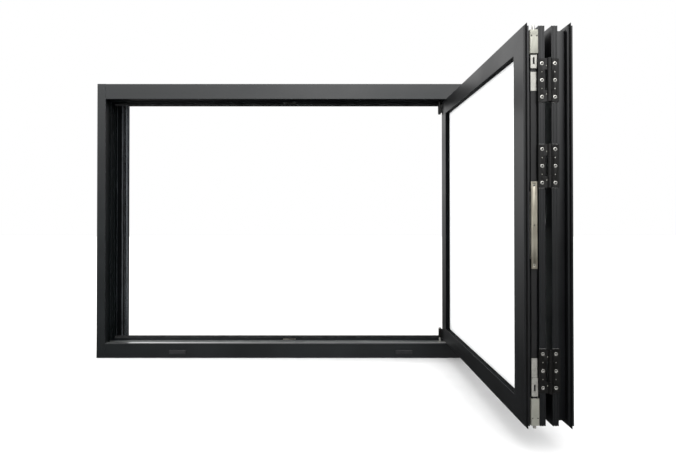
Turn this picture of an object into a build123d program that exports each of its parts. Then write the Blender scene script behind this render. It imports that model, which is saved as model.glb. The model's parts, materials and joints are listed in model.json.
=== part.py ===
from build123d import *

import os

# Two-leaf folding window in extruded aluminium, standing open with its leaves folded flat
# together at the right jamb.  Millimetres, +Z up, +X to the right as seen from outdoors,
# +Y from outdoors into the room.  While a piece is modelled Y starts at the outdoor face of
# the frame; the export helper then moves everything so that Y = 0 is the middle of the frame.

# ---------------------------------------------------------------- outer frame
FRAME_W = 1500.0          # overall width
FRAME_H = 1060.0          # overall height
FRAME_D = 115.0           # front to back
JAMB_FACE = 33.0          # width of a jamb seen from outdoors
HEAD_FACE = 59.0          # height of the head seen from outdoors
SILL_FACE = 56.0          # height of the sill seen from outdoors
WALL = 3.0                # wall thickness of the frame extrusions
STOP_REACH = 41.0         # how far the inner stop stands in from the jamb
SEAL_GAP = 3.0            # closed leaf to the face of the stop
GROOVE_DEPTH = 7.0        # grooves along the side faces of the jambs

# ---------------------------------------------------------------- leaves
LEAF_T = 49.0             # thickness
LEAF_FACE = 52.0          # width of a stile or a rail
LEAF_WALL = 2.0           # wall thickness of the leaf extrusions
REBATE_U = 36.0           # leaf edge to the floor of the glazing rebate
TOP_GAP = 10.0            # head to the top of a leaf
BOTTOM_GAP = 12.0         # sill to the bottom of a leaf
CHANNEL_D = 9.0           # depth of the hardware channel round the leaf edge
CHANNEL_W = 20.0          # width of that channel
INNER_FLANGE = 14.0       # indoor side of the leaf to the channel
GLASS_T = 5.0             # one pane
GLASS_GAP = 14.0          # between the two panes
GLASS_RECESS = 16.0       # outdoor face of the leaf to the outer pane
GLASS_U = 41.0            # leaf edge to the edge of the glass
SEAL_GROOVE_V = 5.0       # outdoor face of the leaf to the seal groove in its edge
SEAL_GROOVE_W = 3.0       # width of that groove
SEAL_GROOVE_D = 1.0       # depth of that groove
SEAL_PROUD = 5.0          # edge seal above the leaf edge
BRUSH_CLEAR = 1.0         # tips of the brush pile to the closed leaves

# ---------------------------------------------------------------- pivots
PIVOT_Y = 29.0            # jamb hinge axis and track centre line
PIVOT_OUT = 7.0           # axis to the outdoor face of the leaf
PIVOT_EDGE = 8.0          # axis to the edge of the leaf
PIVOT_SIDE = 6.0          # axis to the side face of the jamb
FOLD_GAP = 16.0           # between the indoor faces when folded
FOLD_EDGE = 6.0           # fold axis to the edges of both leaves

# ---------------------------------------------------------------- hinges and screws
HINGE_H = 100.0           # height of every hinge
KNUCKLE_R = 4.7           # outside radius of a knuckle
PIN_R = 2.5               # hinge pin
RUN = 0.05                # radial running clearance of pins and bolts
MIDDLE_KNUCKLE = 46.6     # height of the middle knuckle
KNUCKLE_GAP = 0.4         # between two knuckles
HINGE_FROM_TOP = (127.0, 325.0)   # hinge centres below the top of the leaf
HINGE_FROM_BOTTOM = 127.0         # lowest hinge centre above the bottom of the leaf
HINGE_SCREW_PITCH = 38.8  # between the screws of one hinge plate
HINGE_PLATE_W = 16.0      # width of a fold hinge plate over the leaf edge
HINGE_PROUD = 2.5         # fold hinge plate above the leaf edge
HINGE_LET_IN = 1.0        # depth of the notch the plate sits in
SCREW_R = 2.1             # shank of the countersunk screws
SCREW_HEAD_R = 4.2        # head of the countersunk screws

# ---------------------------------------------------------------- track gear
TRACK_MOUTH = 16.0        # slot under the head and in the sill
TRACK_W = 30.0            # inside width of the head track
TRACK_H = 32.0            # inside height of the head track
TRACK_LIP = 4.0           # thickness of the lips the wheels run over
RAIL_T = 1.0              # steel strip on a lip
WHEEL_R = 8.0             # carriage wheel
STEM_R = 3.5              # carriage stem and guide pin
BRACKET_R = 5.5           # knuckle of the pivot brackets
BRACKET_H = 32.0          # height of the pivot brackets
ROLLER_R = 7.0            # bottom guide roller

# ---------------------------------------------------------------- lock gear
BOLT_R = 3.5              # shoot bolt
BOLT_U = 4.3              # leaf edge to the middle of the bolt
BOLT_TRAVEL = 20.0        # throw of both bolts
FACEPLATE_H = 202.0       # lock faceplate
GEARBOX_H = 156.0         # lock gearbox
GEARBOX_SIDE = 3.0        # gearbox face to the side of the channel
HOLLOW_H = 24.0           # hollow inner end of a bolt housing
ROD_PLATE_H = 44.0        # bright end plate of a drive rod
HANDLE_U = 26.0           # leaf edge to the handle spindle
STRIKE_L = 50.0           # strike plate length
STRIKE_W = 16.0           # strike plate width
DRAIN_X = 436.0           # drain covers, from the middle of the sill
DRAIN_Z = 24.0            # drain covers, above the bottom of the sill
FIX_HOLE_R = 4.25         # wall fixing holes in the jambs

# ---------------------------------------------------------------- worked out from the above
INNER_X = FRAME_W / 2 - JAMB_FACE
INNER_TOP = FRAME_H - HEAD_FACE
PIVOT_X = INNER_X - PIVOT_SIDE
LEAF_W = PIVOT_X - PIVOT_EDGE - FOLD_EDGE
LEAF_Z = SILL_FACE + BOTTOM_GAP
LEAF_H = INNER_TOP - TOP_GAP - LEAF_Z
FOLD_X = PIVOT_X - PIVOT_OUT - LEAF_T - FOLD_GAP / 2
LEAD_X = FOLD_X - FOLD_GAP / 2 - LEAF_T
TRACK_X = LEAD_X - PIVOT_OUT
EDGE_Y = PIVOT_Y - PIVOT_EDGE
STOP_Y = PIVOT_Y + PIVOT_OUT + LEAF_T + SEAL_GAP
BRUSH_Y0 = STOP_Y - 15
BRUSH_Y1 = STOP_Y - 7
CHANNEL_V = LEAF_T - INNER_FLANGE - CHANNEL_W
BOLT_V = CHANNEL_V + CHANNEL_W / 2
CASE_V = CHANNEL_W / 2 - GEARBOX_SIDE
BOLT_Y = PIVOT_Y + PIVOT_OUT + BOLT_V
BOLT_X = -(FOLD_EDGE + BOLT_U)
MID_Z = LEAF_H / 2
HINGE_ZS = [HINGE_FROM_BOTTOM] + [LEAF_H - drop for drop in HINGE_FROM_TOP]
FIX_YS = (52.5,)
FIX_ZS = (100.0, FRAME_H / 2 - 210.0, FRAME_H / 2 + 210.0, FRAME_H - 100.0)
JOINT_YS = (58.0, 98.0)
PORT_IN = 7.5             # screw port to the outer face of the head or the sill
FRAME_SCREW_Y = 52.5      # hinge screws in the jamb
GLASS_V2 = GLASS_RECESS + GLASS_T + GLASS_GAP


# ================================================================ helpers
def block(x0, x1, y0, y1, z0, z1):
    """Box between two corners."""
    return Pos((x0 + x1) / 2, (y0 + y1) / 2, (z0 + z1) / 2) * Box(x1 - x0, y1 - y0, z1 - z0)


def rect(x0, x1, y0, y1):
    """Flat rectangle between two corners."""
    return Pos((x0 + x1) / 2, (y0 + y1) / 2) * Rectangle(x1 - x0, y1 - y0)


def disc(x, y, radius):
    """Flat disc."""
    return Pos(x, y) * Circle(radius)


def polygon(*points):
    """Flat polygon through the given points."""
    return make_face(Polyline(*points, close=True))


def rod_x(x0, x1, y, z, radius):
    """Round bar along X."""
    return Pos((x0 + x1) / 2, y, z) * Rot(0, 90, 0) * Cylinder(radius, x1 - x0)


def rod_y(x, y0, y1, z, radius):
    """Round bar along Y."""
    return Pos(x, (y0 + y1) / 2, z) * Rot(90, 0, 0) * Cylinder(radius, y1 - y0)


def rod_z(x, y, z0, z1, radius):
    """Round bar along Z."""
    return Pos(x, y, (z0 + z1) / 2) * Cylinder(radius, z1 - z0)


def upright(section, z0, z1):
    """Section drawn in plan, pulled from z0 up to z1."""
    return Pos(0, 0, z0) * extrude(section, amount=z1 - z0)


def lengthwise(section, x0, x1):
    """Section drawn as (Y, Z), pulled from x0 to x1."""
    return extrude(Plane.YZ.offset(x0) * section, amount=x1 - x0)


def countersunk(length, head_r=SCREW_HEAD_R, shank_r=SCREW_R):
    """Countersunk screw with a hexagon socket; head top at the origin, shank down -Z."""
    head_h = head_r - shank_r
    head = Pos(0, 0, -head_h / 2) * Cone(shank_r, head_r, head_h)
    shank = Pos(0, 0, -(head_h + length) / 2) * Cylinder(shank_r, length - head_h)
    socket = Pos(0, 0, -1.5) * extrude(RegularPolygon(head_r * 0.42, 6), amount=2)
    return head + shank - socket


def sink(length, head_r=SCREW_HEAD_R, shank_r=SCREW_R):
    """Hole for the same screw, a running clearance larger all round."""
    head_h = head_r - shank_r
    head = Pos(0, 0, -head_h / 2 + 0.05) * Cone(shank_r + RUN, head_r + 0.2, head_h + 0.1)
    shank = Pos(0, 0, -(head_h + length) / 2) * Cylinder(shank_r + RUN, length - head_h + 0.5)
    return head + shank


def facing(position, outward, shape):
    """Put a screw or its hole at a position with the head looking outward."""
    return Plane(origin=position, z_dir=outward).location * shape


def write(name, *shapes):
    """Write one node as a group of separate solids, centred front to back on the frame."""
    solids = []
    for shape in shapes:
        moved = Pos(0, -FRAME_D / 2, 0) * shape
        solids.extend(moved.solids())
    body = solids[0] if len(solids) == 1 else Compound(solids)
    export_step(body, os.path.join("parts", name + ".step"))


# ================================================================ outer frame
def jamb():
    """Left jamb: a hollow extrusion the full height of the frame, with two side grooves.

    The folding pivots swing about 6 mm past their closed place, so the front groove lies on
    the track line and is wide enough for the carriage and the brackets to dip into it.
    """
    out = -FRAME_W / 2
    side = -INNER_X
    section = polygon((out, 1), (out + 1, 0), (side - 1, 0), (side, 1), (side, FRAME_D), (out, FRAME_D))
    section -= rect(side - GROOVE_DEPTH, side, PIVOT_Y - 8, PIVOT_Y + 15.5)
    section -= rect(side - GROOVE_DEPTH, side, STOP_Y - 28, STOP_Y - 11)
    inner = side - GROOVE_DEPTH - WALL
    section -= rect(out + WALL, inner, WALL, FRAME_D / 2 - WALL / 2)
    section -= rect(out + WALL, inner, FRAME_D / 2 + WALL / 2, FRAME_D - WALL)
    body = upright(section, 0, FRAME_H)
    for y in FIX_YS:
        for z in FIX_ZS:
            body -= rod_x(out - 1, side + 1, y, z, FIX_HOLE_R)
    for y in JOINT_YS:
        for z in (PORT_IN, FRAME_H - PORT_IN):
            body -= facing((out, y, z), (-1, 0, 0), sink(JAMB_FACE + 10, 5.0, 2.4))
    return body


def right_jamb():
    """Mirror of the left jamb, drilled for the screws of the three jamb hinges."""
    body = mirror(jamb(), about=Plane.YZ)
    for z in HINGE_ZS:
        for step in (-1, 0, 1):
            at = LEAF_Z + z + step * HINGE_SCREW_PITCH
            body -= rod_x(INNER_X - 1, INNER_X + 16, FRAME_SCREW_Y, at, SCREW_R + RUN)
    return body


def stop_section():
    """Plan of the left inner stop: seal groove, ridge and a grooved inner end."""
    a = -INNER_X
    b = a + STOP_REACH
    s = STOP_Y
    section = polygon(
        (a, s + 6), (a + 22, s + 6), (a + 22, s), (a + 26, s), (a + 26, s + 6), (a + 34, s + 6),
        (a + 34, s), (b, s), (b, s + 8), (b - 3, s + 8), (b - 3, s + 12), (b, s + 12),
        (b, FRAME_D), (a, FRAME_D))
    return section - rect(a + WALL, b - 6, s + 9, FRAME_D - WALL)


def stop_profile():
    """Left inner stop, cut between the sill and the head."""
    return upright(stop_section(), SILL_FACE, INNER_TOP)


def jamb_gasket():
    """Left bulb seal pushed into the groove of the stop."""
    x = -INNER_X + 30
    foot = rect(x - 3.7, x + 3.7, STOP_Y + 3.2, STOP_Y + 5.8)
    bulb = disc(x, STOP_Y + 0.9, 3.4) - disc(x, STOP_Y + 0.9, 2.0)
    neck = rect(x - 1.2, x + 1.2, STOP_Y + 3, STOP_Y + 4.2)
    return upright(foot + bulb + neck, SILL_FACE + 0.5, INNER_TOP - 0.5)


def head_section():
    """Head section as (Y, Z): roller track, brush groove, chambers and two screw ports."""
    z = INNER_TOP
    top = FRAME_H
    track0 = PIVOT_Y - TRACK_W / 2
    track1 = PIVOT_Y + TRACK_W / 2
    section = polygon((1, z), (FRAME_D, z), (FRAME_D, top), (1, top), (0, top - 1), (0, z + 1))
    section -= rect(track0, track1, z + TRACK_LIP, z + TRACK_LIP + TRACK_H)
    section -= rect(PIVOT_Y - TRACK_MOUTH / 2, PIVOT_Y + TRACK_MOUTH / 2, z - 1, z + TRACK_LIP + 1)
    section -= rect(WALL, track1, z + TRACK_LIP + TRACK_H + WALL, top - WALL)
    section -= rect(track1 + WALL, BRUSH_Y0 - 2, z + 4.5, top - WALL)
    section -= rect(BRUSH_Y0, FRAME_D - WALL, z + 11, top - WALL)
    section -= rect(BRUSH_Y0, BRUSH_Y1, z - 1, z + 8)
    for y in JOINT_YS:
        section += disc(y, top - PORT_IN, 4.8)
        section -= disc(y, top - PORT_IN, 2.45)
    return section


def head_rail():
    """Head between the jambs, with the strike let in and the bolt hole behind it."""
    body = lengthwise(head_section(), -INNER_X, INNER_X)
    z = INNER_TOP
    body -= strike_pocket(z, z + 2)
    body -= rod_z(BOLT_X, BOLT_Y, z, z + 8, BOLT_R + 1.2)
    for x in strike_screw_xs():
        body -= rod_z(x, BOLT_Y, z, z + 8, 1.6)
    return body


def sill_section():
    """Sill section as (Y, Z): track groove, drain groove, brush groove and chambers."""
    z = SILL_FACE
    groove0 = PIVOT_Y - TRACK_MOUTH / 2 - 1
    groove1 = PIVOT_Y + TRACK_MOUTH / 2 + 1
    section = polygon((1, 0), (FRAME_D, 0), (FRAME_D, z), (1, z), (0, z - 1), (0, 1))
    section -= rect(groove0, groove1, z - 22, z + 1)
    section -= rect(5, groove0 + 1, z - 1.5, z + 1)
    section -= rect(44, 50, z - 6, z + 1)
    section -= rect(BRUSH_Y0, BRUSH_Y1, z - 8, z + 1)
    section -= rect(WALL, groove0 - WALL, WALL, z - 5)
    section -= rect(groove0, groove1, WALL, z - 22 - WALL)
    section -= rect(groove1 + WALL, BRUSH_Y0 - 2, WALL, z - 9)
    section -= rect(BRUSH_Y0, FRAME_D - WALL, WALL, z - 11)
    for y in JOINT_YS:
        section += disc(y, PORT_IN, 4.8)
        section -= disc(y, PORT_IN, 2.45)
    return section


def sill_rail():
    """Sill between the jambs, slotted for drainage and let in for the lower strike."""
    body = lengthwise(sill_section(), -INNER_X, INNER_X)
    z = SILL_FACE
    body -= strike_pocket(z - 2, z)
    body -= rod_z(BOLT_X, BOLT_Y, z - 12, z, BOLT_R + 1.2)
    for x in strike_screw_xs():
        body -= rod_z(x, BOLT_Y, z - 8, z, 1.6)
    for x in (-DRAIN_X, DRAIN_X):
        body -= block(x - 20, x + 20, -1, WALL + 1, DRAIN_Z - 3, DRAIN_Z + 3)
    return body


def strike_pocket(z0, z1):
    """Pocket the size of a strike plate."""
    half = STRIKE_L / 2
    return block(BOLT_X - half, BOLT_X + half, BOLT_Y - STRIKE_W / 2, BOLT_Y + STRIKE_W / 2, z0, z1)


def strike_screw_xs():
    """Positions of the two screws of a strike plate along X."""
    return (BOLT_X - STRIKE_L / 2 + 7, BOLT_X + STRIKE_L / 2 - 7)


def strike_plate(z0, outward):
    """Strike plate with a bolt hole and two countersunk screw holes."""
    half = STRIKE_L / 2 - 0.1
    wide = STRIKE_W / 2 - 0.1
    plate = block(BOLT_X - half, BOLT_X + half, BOLT_Y - wide, BOLT_Y + wide, z0, z0 + 2)
    plate -= rod_z(BOLT_X, BOLT_Y, z0 - 1, z0 + 3, BOLT_R + 0.6)
    face = z0 if outward < 0 else z0 + 2
    for x in strike_screw_xs():
        plate -= facing((x, BOLT_Y, face), (0, 0, outward), sink(8, 3.0, 1.5))
    return plate


def strike_screws():
    """The four screws of the two strike plates."""
    screws = []
    for x in strike_screw_xs():
        screws.append(facing((x, BOLT_Y, INNER_TOP), (0, 0, -1), countersunk(7, 3.0, 1.5)))
        screws.append(facing((x, BOLT_Y, SILL_FACE), (0, 0, 1), countersunk(7, 3.0, 1.5)))
    return screws


def frame_joint_screws():
    """Eight screws through the jambs into the ports of the head and the sill."""
    screws = []
    for side in (-1, 1):
        for y in JOINT_YS:
            for z in (PORT_IN, FRAME_H - PORT_IN):
                at = (side * FRAME_W / 2, y, z)
                screws.append(facing(at, (side, 0, 0), countersunk(JAMB_FACE + 32, 5.0, 2.4)))
    return screws


def head_track_rails():
    """Two steel running strips on the lips of the head track."""
    z = INNER_TOP + TRACK_LIP
    strips = []
    for side in (-1, 1):
        y0 = PIVOT_Y + side * (TRACK_W / 2 - 0.2)
        y1 = PIVOT_Y + side * (TRACK_MOUTH / 2 + 0.2)
        section = rect(min(y0, y1), max(y0, y1), z, z + RAIL_T)
        strips.append(lengthwise(section, -INNER_X + 0.5, INNER_X - 0.5))
    return strips


def sill_track():
    """Steel channel pressed into the sill, with a lip lying over the front of the sill."""
    z = SILL_FACE
    y0 = PIVOT_Y - TRACK_MOUTH / 2 - 0.8
    y1 = PIVOT_Y + TRACK_MOUTH / 2 + 0.8
    section = rect(y0, y1, z - 21.8, z) - rect(y0 + 1.5, y1 - 1.5, z - 20.3, z + 1)
    section += rect(5.2, y0 + 1, z - 1.5, z)
    body = lengthwise(section, -INNER_X + 0.3, INNER_X - 0.3)
    for x in (-DRAIN_X, DRAIN_X):
        body -= block(x - 12, x + 12, PIVOT_Y - 3, PIVOT_Y + 3, z - 23, z - 19)
    return body


def weather_brushes():
    """Brush pile seals in the rear grooves of the head and the sill."""
    y0 = BRUSH_Y0 + 0.3
    y1 = BRUSH_Y1 - 0.3
    low = INNER_TOP - TOP_GAP + BRUSH_CLEAR
    high = SILL_FACE + BOTTOM_GAP - BRUSH_CLEAR
    head = lengthwise(rect(y0, y1, low, INNER_TOP + 7.8), -INNER_X + 1, INNER_X - 1)
    sill = lengthwise(rect(y0, y1, SILL_FACE - 7.8, high), -INNER_X + 1, INNER_X - 1)
    return [head, sill]


def drain_cover(x):
    """Small hood over a drain slot, open below."""
    hood = block(x - 32.5, x + 32.5, -4, 0, DRAIN_Z - 7, DRAIN_Z + 7)
    hood -= block(x - 31, x + 31, -2.6, 0.1, DRAIN_Z - 8, DRAIN_Z + 5.6)
    edges = hood.edges().filter_by(Axis.Z).sort_by(Axis.Y)[:2]
    return fillet(edges, 3.0)


# ================================================================ hinges
def knuckle_spans(z, outer):
    """Heights of the knuckles of one hinge: the two outer ones or the middle one."""
    half = MIDDLE_KNUCKLE / 2
    if outer:
        return [(z - HINGE_H / 2, z - half - KNUCKLE_GAP), (z + half + KNUCKLE_GAP, z + HINGE_H / 2)]
    return [(z - half, z + half)]


def jamb_hinge_plate(z):
    """Fixed plate of a jamb hinge, screwed to the side face of the right jamb."""
    z = LEAF_Z + z
    plate = block(INNER_X - 3, INNER_X, PIVOT_Y + 7, 62, z - HINGE_H / 2, z + HINGE_H / 2)
    for z0, z1 in knuckle_spans(z, True):
        plate += rod_z(PIVOT_X, PIVOT_Y, z0, z1, KNUCKLE_R)
        plate += block(PIVOT_X, INNER_X, PIVOT_Y, PIVOT_Y + KNUCKLE_R, z0, z1)
        plate += block(INNER_X - 3, INNER_X, PIVOT_Y, PIVOT_Y + 8, z0, z1)
        plate -= rod_z(PIVOT_X, PIVOT_Y, z0 - 1, z1 + 1, PIN_R + RUN)
    for step in (-1, 0, 1):
        at = (INNER_X - 3, FRAME_SCREW_Y, z + step * HINGE_SCREW_PITCH)
        plate -= facing(at, (-1, 0, 0), sink(8))
    return plate


def jamb_hinge_screws(z):
    """Screws of the fixed plate of a jamb hinge."""
    screws = []
    for step in (-1, 0, 1):
        at = (INNER_X - 3, FRAME_SCREW_Y, LEAF_Z + z + step * HINGE_SCREW_PITCH)
        screws.append(facing(at, (-1, 0, 0), countersunk(18)))
    return screws


def edge_plate(z0, z1, spans, knuckle_r, bore_r):
    """Plate on the pivot edge of a leaf with an arm to knuckles outside its outdoor face.

    Leaf coordinates: x from the pivot edge, y from the outdoor face, z from the bottom.
    """
    cx = -PIVOT_EDGE
    cy = -PIVOT_OUT
    plate = block(-3, 0, 0, 22, z0, z1)
    arm = polygon((cx - 1.3, cy + 1.5), (cx + 1.3, cy - 1.5), (-0.2, -1.8), (-0.2, 3), (-3, 3))
    for a, b in spans:
        plate += upright(arm, a, b)
        plate += rod_z(cx, cy, a, b, knuckle_r)
        plate -= rod_z(cx, cy, a - 1, b + 1, bore_r)
    return plate


def edge_screw_sites(z, pitch):
    """Screw positions of a plate on the pivot edge, in leaf coordinates."""
    return [(-3, CHANNEL_V / 2 - 1, z + step * pitch) for step in (-1, 0, 1)]


def pivot_hinge_plate(z):
    """Moving plate of a jamb hinge."""
    z0 = z - HINGE_H / 2
    z1 = z + HINGE_H / 2
    plate = edge_plate(z0, z1, knuckle_spans(z, False), KNUCKLE_R, PIN_R + RUN)
    for site in edge_screw_sites(z, HINGE_SCREW_PITCH):
        plate -= facing(site, (-1, 0, 0), sink(8))
    return plate


def fold_plate(z, outer):
    """Fold hinge plate let into the indoor flange of a leaf edge, with its knuckles."""
    w = LEAF_W
    t = LEAF_T
    z0 = z - HINGE_H / 2
    z1 = z + HINGE_H / 2
    plate = block(w - HINGE_LET_IN, w + HINGE_PROUD, t - HINGE_PLATE_W, t, z0, z1)
    cx = w + FOLD_EDGE
    cy = t + FOLD_GAP / 2
    arm = polygon(
        (w + 0.2, t - 4), (w + 0.2, t + 1), (cx - 3.8, cy - 2), (cx - 0.6, cy),
        (cx - 0.6, cy - 4), (w + HINGE_PROUD, t - 4))
    for a, b in knuckle_spans(z, outer):
        plate += upright(arm, a, b)
        plate += rod_z(cx, cy, a, b, KNUCKLE_R)
        plate -= rod_z(cx, cy, a - 1, b + 1, PIN_R + RUN)
    for site in fold_screw_sites(z):
        plate -= facing(site, (1, 0, 0), sink(8))
    for step in (-0.5, 0.5):
        at = z + step * HINGE_SCREW_PITCH
        plate -= rod_x(w - 2, w + 4, t - INNER_FLANGE / 2, at, 1.6)
    if outer:
        for site in set_screw_sites(z):
            plate -= rod_x(site[0], site[0] + 8, site[1], site[2], 1.55)
    return plate


def fold_screw_sites(z):
    """Screw positions of a fold hinge plate, in leaf coordinates."""
    x = LEAF_W + HINGE_PROUD
    y = LEAF_T - INNER_FLANGE / 2
    return [(x, y, z + step * HINGE_SCREW_PITCH) for step in (-1, 0, 1)]


def set_screw_sites(z):
    """Adjusting screws in the arms of the lead leaf's fold hinge plates."""
    return [(LEAF_W + 2.0, LEAF_T + 2.4, z + step * 33) for step in (-1, 1)]


def plate_set_screws(z):
    """Two adjusting screws sunk in a fold hinge plate, between its large screws."""
    y = LEAF_T - INNER_FLANGE / 2
    x0 = LEAF_W - HINGE_LET_IN + 0.1
    x1 = LEAF_W + HINGE_PROUD - 0.5
    return [rod_x(x0, x1, y, z + step * HINGE_SCREW_PITCH, 1.55) for step in (-0.5, 0.5)]


def hinge_pin(x, y, z):
    """Pin through the three knuckles of a hinge."""
    return rod_z(x, y, z - HINGE_H / 2 + 0.5, z + HINGE_H / 2 - 0.5, PIN_R)


def fold_notch(z):
    """Notch in the leaf edge under a fold hinge plate, a little longer than the plate."""
    half = HINGE_H / 2 + 1
    y0 = LEAF_T - HINGE_PLATE_W - 0.3
    return block(LEAF_W - HINGE_LET_IN, LEAF_W + 1, y0, LEAF_T + 1, z - half, z + half)


# ================================================================ leaf members
def leaf_section():
    """Section of a stile or a rail: x from the leaf edge, y from the outdoor face."""
    w = LEAF_WALL
    section = rect(0, REBATE_U, 0, LEAF_T) + rect(REBATE_U - 1, LEAF_FACE, 0, GLASS_RECESS - 2)
    section -= rect(-1, CHANNEL_D, CHANNEL_V, CHANNEL_V + CHANNEL_W)
    section -= rect(-1, CHANNEL_D + 4, CHANNEL_V - 2.5, CHANNEL_V + 0.1)
    section -= rect(-1, SEAL_GROOVE_D, SEAL_GROOVE_V, SEAL_GROOVE_V + SEAL_GROOVE_W)
    for inward in (3.0, 10.0):
        section -= rect(-1, 0.8, LEAF_T - inward - 1.2, LEAF_T - inward)
    section -= rect(w, REBATE_U - w, w, CHANNEL_V - 4.5)
    section -= rect(CHANNEL_D + w + 4, REBATE_U - w, CHANNEL_V - 2.5, CHANNEL_V + 2)
    section -= rect(CHANNEL_D + w, REBATE_U - w, CHANNEL_V + 2, CHANNEL_V + CHANNEL_W)
    section -= rect(w, REBATE_U - w, CHANNEL_V + CHANNEL_W + w, LEAF_T - w)
    section -= rect(REBATE_U + w, LEAF_FACE - w, w, GLASS_RECESS - 4)
    return section


def mitred(section, length, deep):
    """Bar with both ends cut at 45 degrees; long edge on x = 0, short edge at x = deep."""
    bar = upright(section, 0, length)
    outline = polygon((-1, -1), (deep, deep), (deep, length - deep), (-1, length + 1))
    mask = extrude(Plane.XZ.offset(-LEAF_T - 5) * outline, amount=LEAF_T + 10)
    return bar & mask


def four_sides(section, deep):
    """Four mitred bars round a leaf: pivot stile, fold stile, bottom rail, top rail."""
    tall = mitred(section, LEAF_H, deep)
    wide = mitred(section, LEAF_W, deep)
    pivot_stile = tall
    fold_stile = Pos(LEAF_W, 0, LEAF_H) * Rot(0, 180, 0) * tall
    bottom = Pos(LEAF_W, 0, 0) * Rot(0, -90, 0) * wide
    top = Pos(0, 0, LEAF_H) * Rot(0, 90, 0) * wide
    return pivot_stile, fold_stile, bottom, top


def ring(inset, width, y0, y1):
    """Flat rectangular ring: outer edge inset from the leaf edge, between two depths."""
    w = LEAF_W - 2 * inset
    h = LEAF_H - 2 * inset
    outer = block(inset, inset + w, y0, y1, inset, inset + h)
    return outer - block(inset + width, inset + w - width, y0 - 1, y1 + 1, inset + width, inset + h - width)


def glass_panes():
    """The two panes of the sealed unit."""
    panes = []
    for y0 in (GLASS_RECESS, GLASS_V2):
        panes.append(block(GLASS_U, LEAF_W - GLASS_U, y0, y0 + GLASS_T, GLASS_U, LEAF_H - GLASS_U))
    return panes


def glazing_gaskets():
    """Outer and inner glazing gaskets, and the flap seal round the leaf edge."""
    outer = ring(44, 7.5, GLASS_RECESS - 2, GLASS_RECESS)
    inner = ring(44, 7.5, GLASS_V2 + GLASS_T, bead_y())
    return [outer, inner, edge_seal()]


def edge_seal():
    """Flap seal in the groove of the leaf edge, along the fold stile and both rails."""
    y0 = SEAL_GROOVE_V + 0.2
    y1 = SEAL_GROOVE_V + SEAL_GROOVE_W - 0.2
    seal = ring(-SEAL_PROUD, SEAL_PROUD + SEAL_GROOVE_D, y0, y1)
    return seal - block(-SEAL_PROUD - 1, 6, y0 - 1, y1 + 1, -SEAL_PROUD - 1, LEAF_H + SEAL_PROUD + 1)


def bead_y():
    """Depth at which the glazing beads start, three millimetres behind the inner pane."""
    return GLASS_V2 + GLASS_T + 3


def bead_section():
    """Section of a glazing bead."""
    y = bead_y()
    return polygon(
        (REBATE_U + 0.2, y), (LEAF_FACE, y), (LEAF_FACE, LEAF_T - 2.5),
        (LEAF_FACE - 2, LEAF_T), (REBATE_U + 0.2, LEAF_T))


def beads():
    """Four glazing beads, the uprights cut between the level ones."""
    pivot, fold, bottom, top = four_sides(bead_section(), LEAF_FACE)
    return [pivot, fold, bottom, top]


def spacer():
    """Spacer bar between the panes with its sealant, ten millimetres wide."""
    return ring(GLASS_U + 0.5, 10, GLASS_RECESS + GLASS_T, GLASS_V2)


def setting_blocks():
    """Blocks that carry and wedge the sealed unit in the rebate."""
    y0 = GLASS_RECESS + 1
    y1 = GLASS_V2 + GLASS_T - 1
    blocks = []
    for x in (LEAF_W * 0.25, LEAF_W * 0.75):
        blocks.append(block(x - 40, x + 40, y0, y1, REBATE_U, GLASS_U))
    for z in (LEAF_H * 0.25, LEAF_H * 0.75):
        blocks.append(block(REBATE_U, GLASS_U, y0, y1, z - 40, z + 40))
        blocks.append(block(LEAF_W - GLASS_U, LEAF_W - REBATE_U, y0, y1, z - 40, z + 40))
    return blocks


def corner_cleats():
    """Angle cleats in the indoor chambers, one per mitre."""
    u0 = LEAF_WALL + 0.3
    u1 = REBATE_U - LEAF_WALL - 0.3
    y0 = CHANNEL_V + CHANNEL_W + LEAF_WALL + 0.3
    y1 = LEAF_T - LEAF_WALL - 0.3
    angle = block(u0, 78, y0, y1, u0, u1) + block(u0, u1, y0, y1, u0, 78)
    far = Pos(LEAF_W, 0, LEAF_H) * Rot(0, 180, 0) * angle
    upper = Pos(0, 0, LEAF_H) * Rot(0, 90, 0) * angle
    lower = Pos(LEAF_W, 0, 0) * Rot(0, -90, 0) * angle
    return [angle, far, upper, lower]


# ================================================================ lock gear on the lead leaf
def lock_slots(stile):
    """Cut the fold stile of the lead leaf for the gearbox, the spindle and the screws."""
    w = LEAF_W
    half = GEARBOX_H / 2 + 1
    y0 = BOLT_V - CASE_V - 0.5
    y1 = BOLT_V + CASE_V + 0.5
    stile -= block(w - CHANNEL_D - 4, w - CHANNEL_D + 1, y0, y1, MID_Z - half, MID_Z + half)
    stile -= rod_y(w - HANDLE_U, LEAF_T - 17, LEAF_T + 1, MID_Z, 6.2)
    return stile


def gearbox():
    """Lock case behind the faceplate, with a spindle hole and slots for the drive pins."""
    w = LEAF_W
    half = GEARBOX_H / 2
    y0 = BOLT_V - CASE_V
    y1 = BOLT_V + CASE_V
    case = block(w - REBATE_U + 3, w - CHANNEL_D, y0, y1, MID_Z - half, MID_Z + half)
    case -= rod_y(w - HANDLE_U, BOLT_V - 9, BOLT_V + 9, MID_Z, 5.2)
    for side in (-1, 1):
        z0 = MID_Z + side * 40
        z1 = MID_Z + side * (40 + BOLT_TRAVEL + 10)
        case -= block(w - 18, w - CHANNEL_D + 1, BOLT_V - 3.2, BOLT_V + 3.2, min(z0, z1), max(z0, z1))
    return case


def faceplate():
    """Lock faceplate with two screw holes and a spindle mark."""
    w = LEAF_W
    outline = Pos(BOLT_V, MID_Z) * RectangleRounded(14, FACEPLATE_H, 1)
    plate = extrude(Plane.YZ.offset(w - 4.5) * outline, amount=2.5)
    for site in faceplate_screw_sites():
        plate -= facing(site, (1, 0, 0), sink(6, 3.0, 1.5))
    plate -= rod_x(w - 6, w, BOLT_V, MID_Z, 1.8)
    return plate


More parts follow.
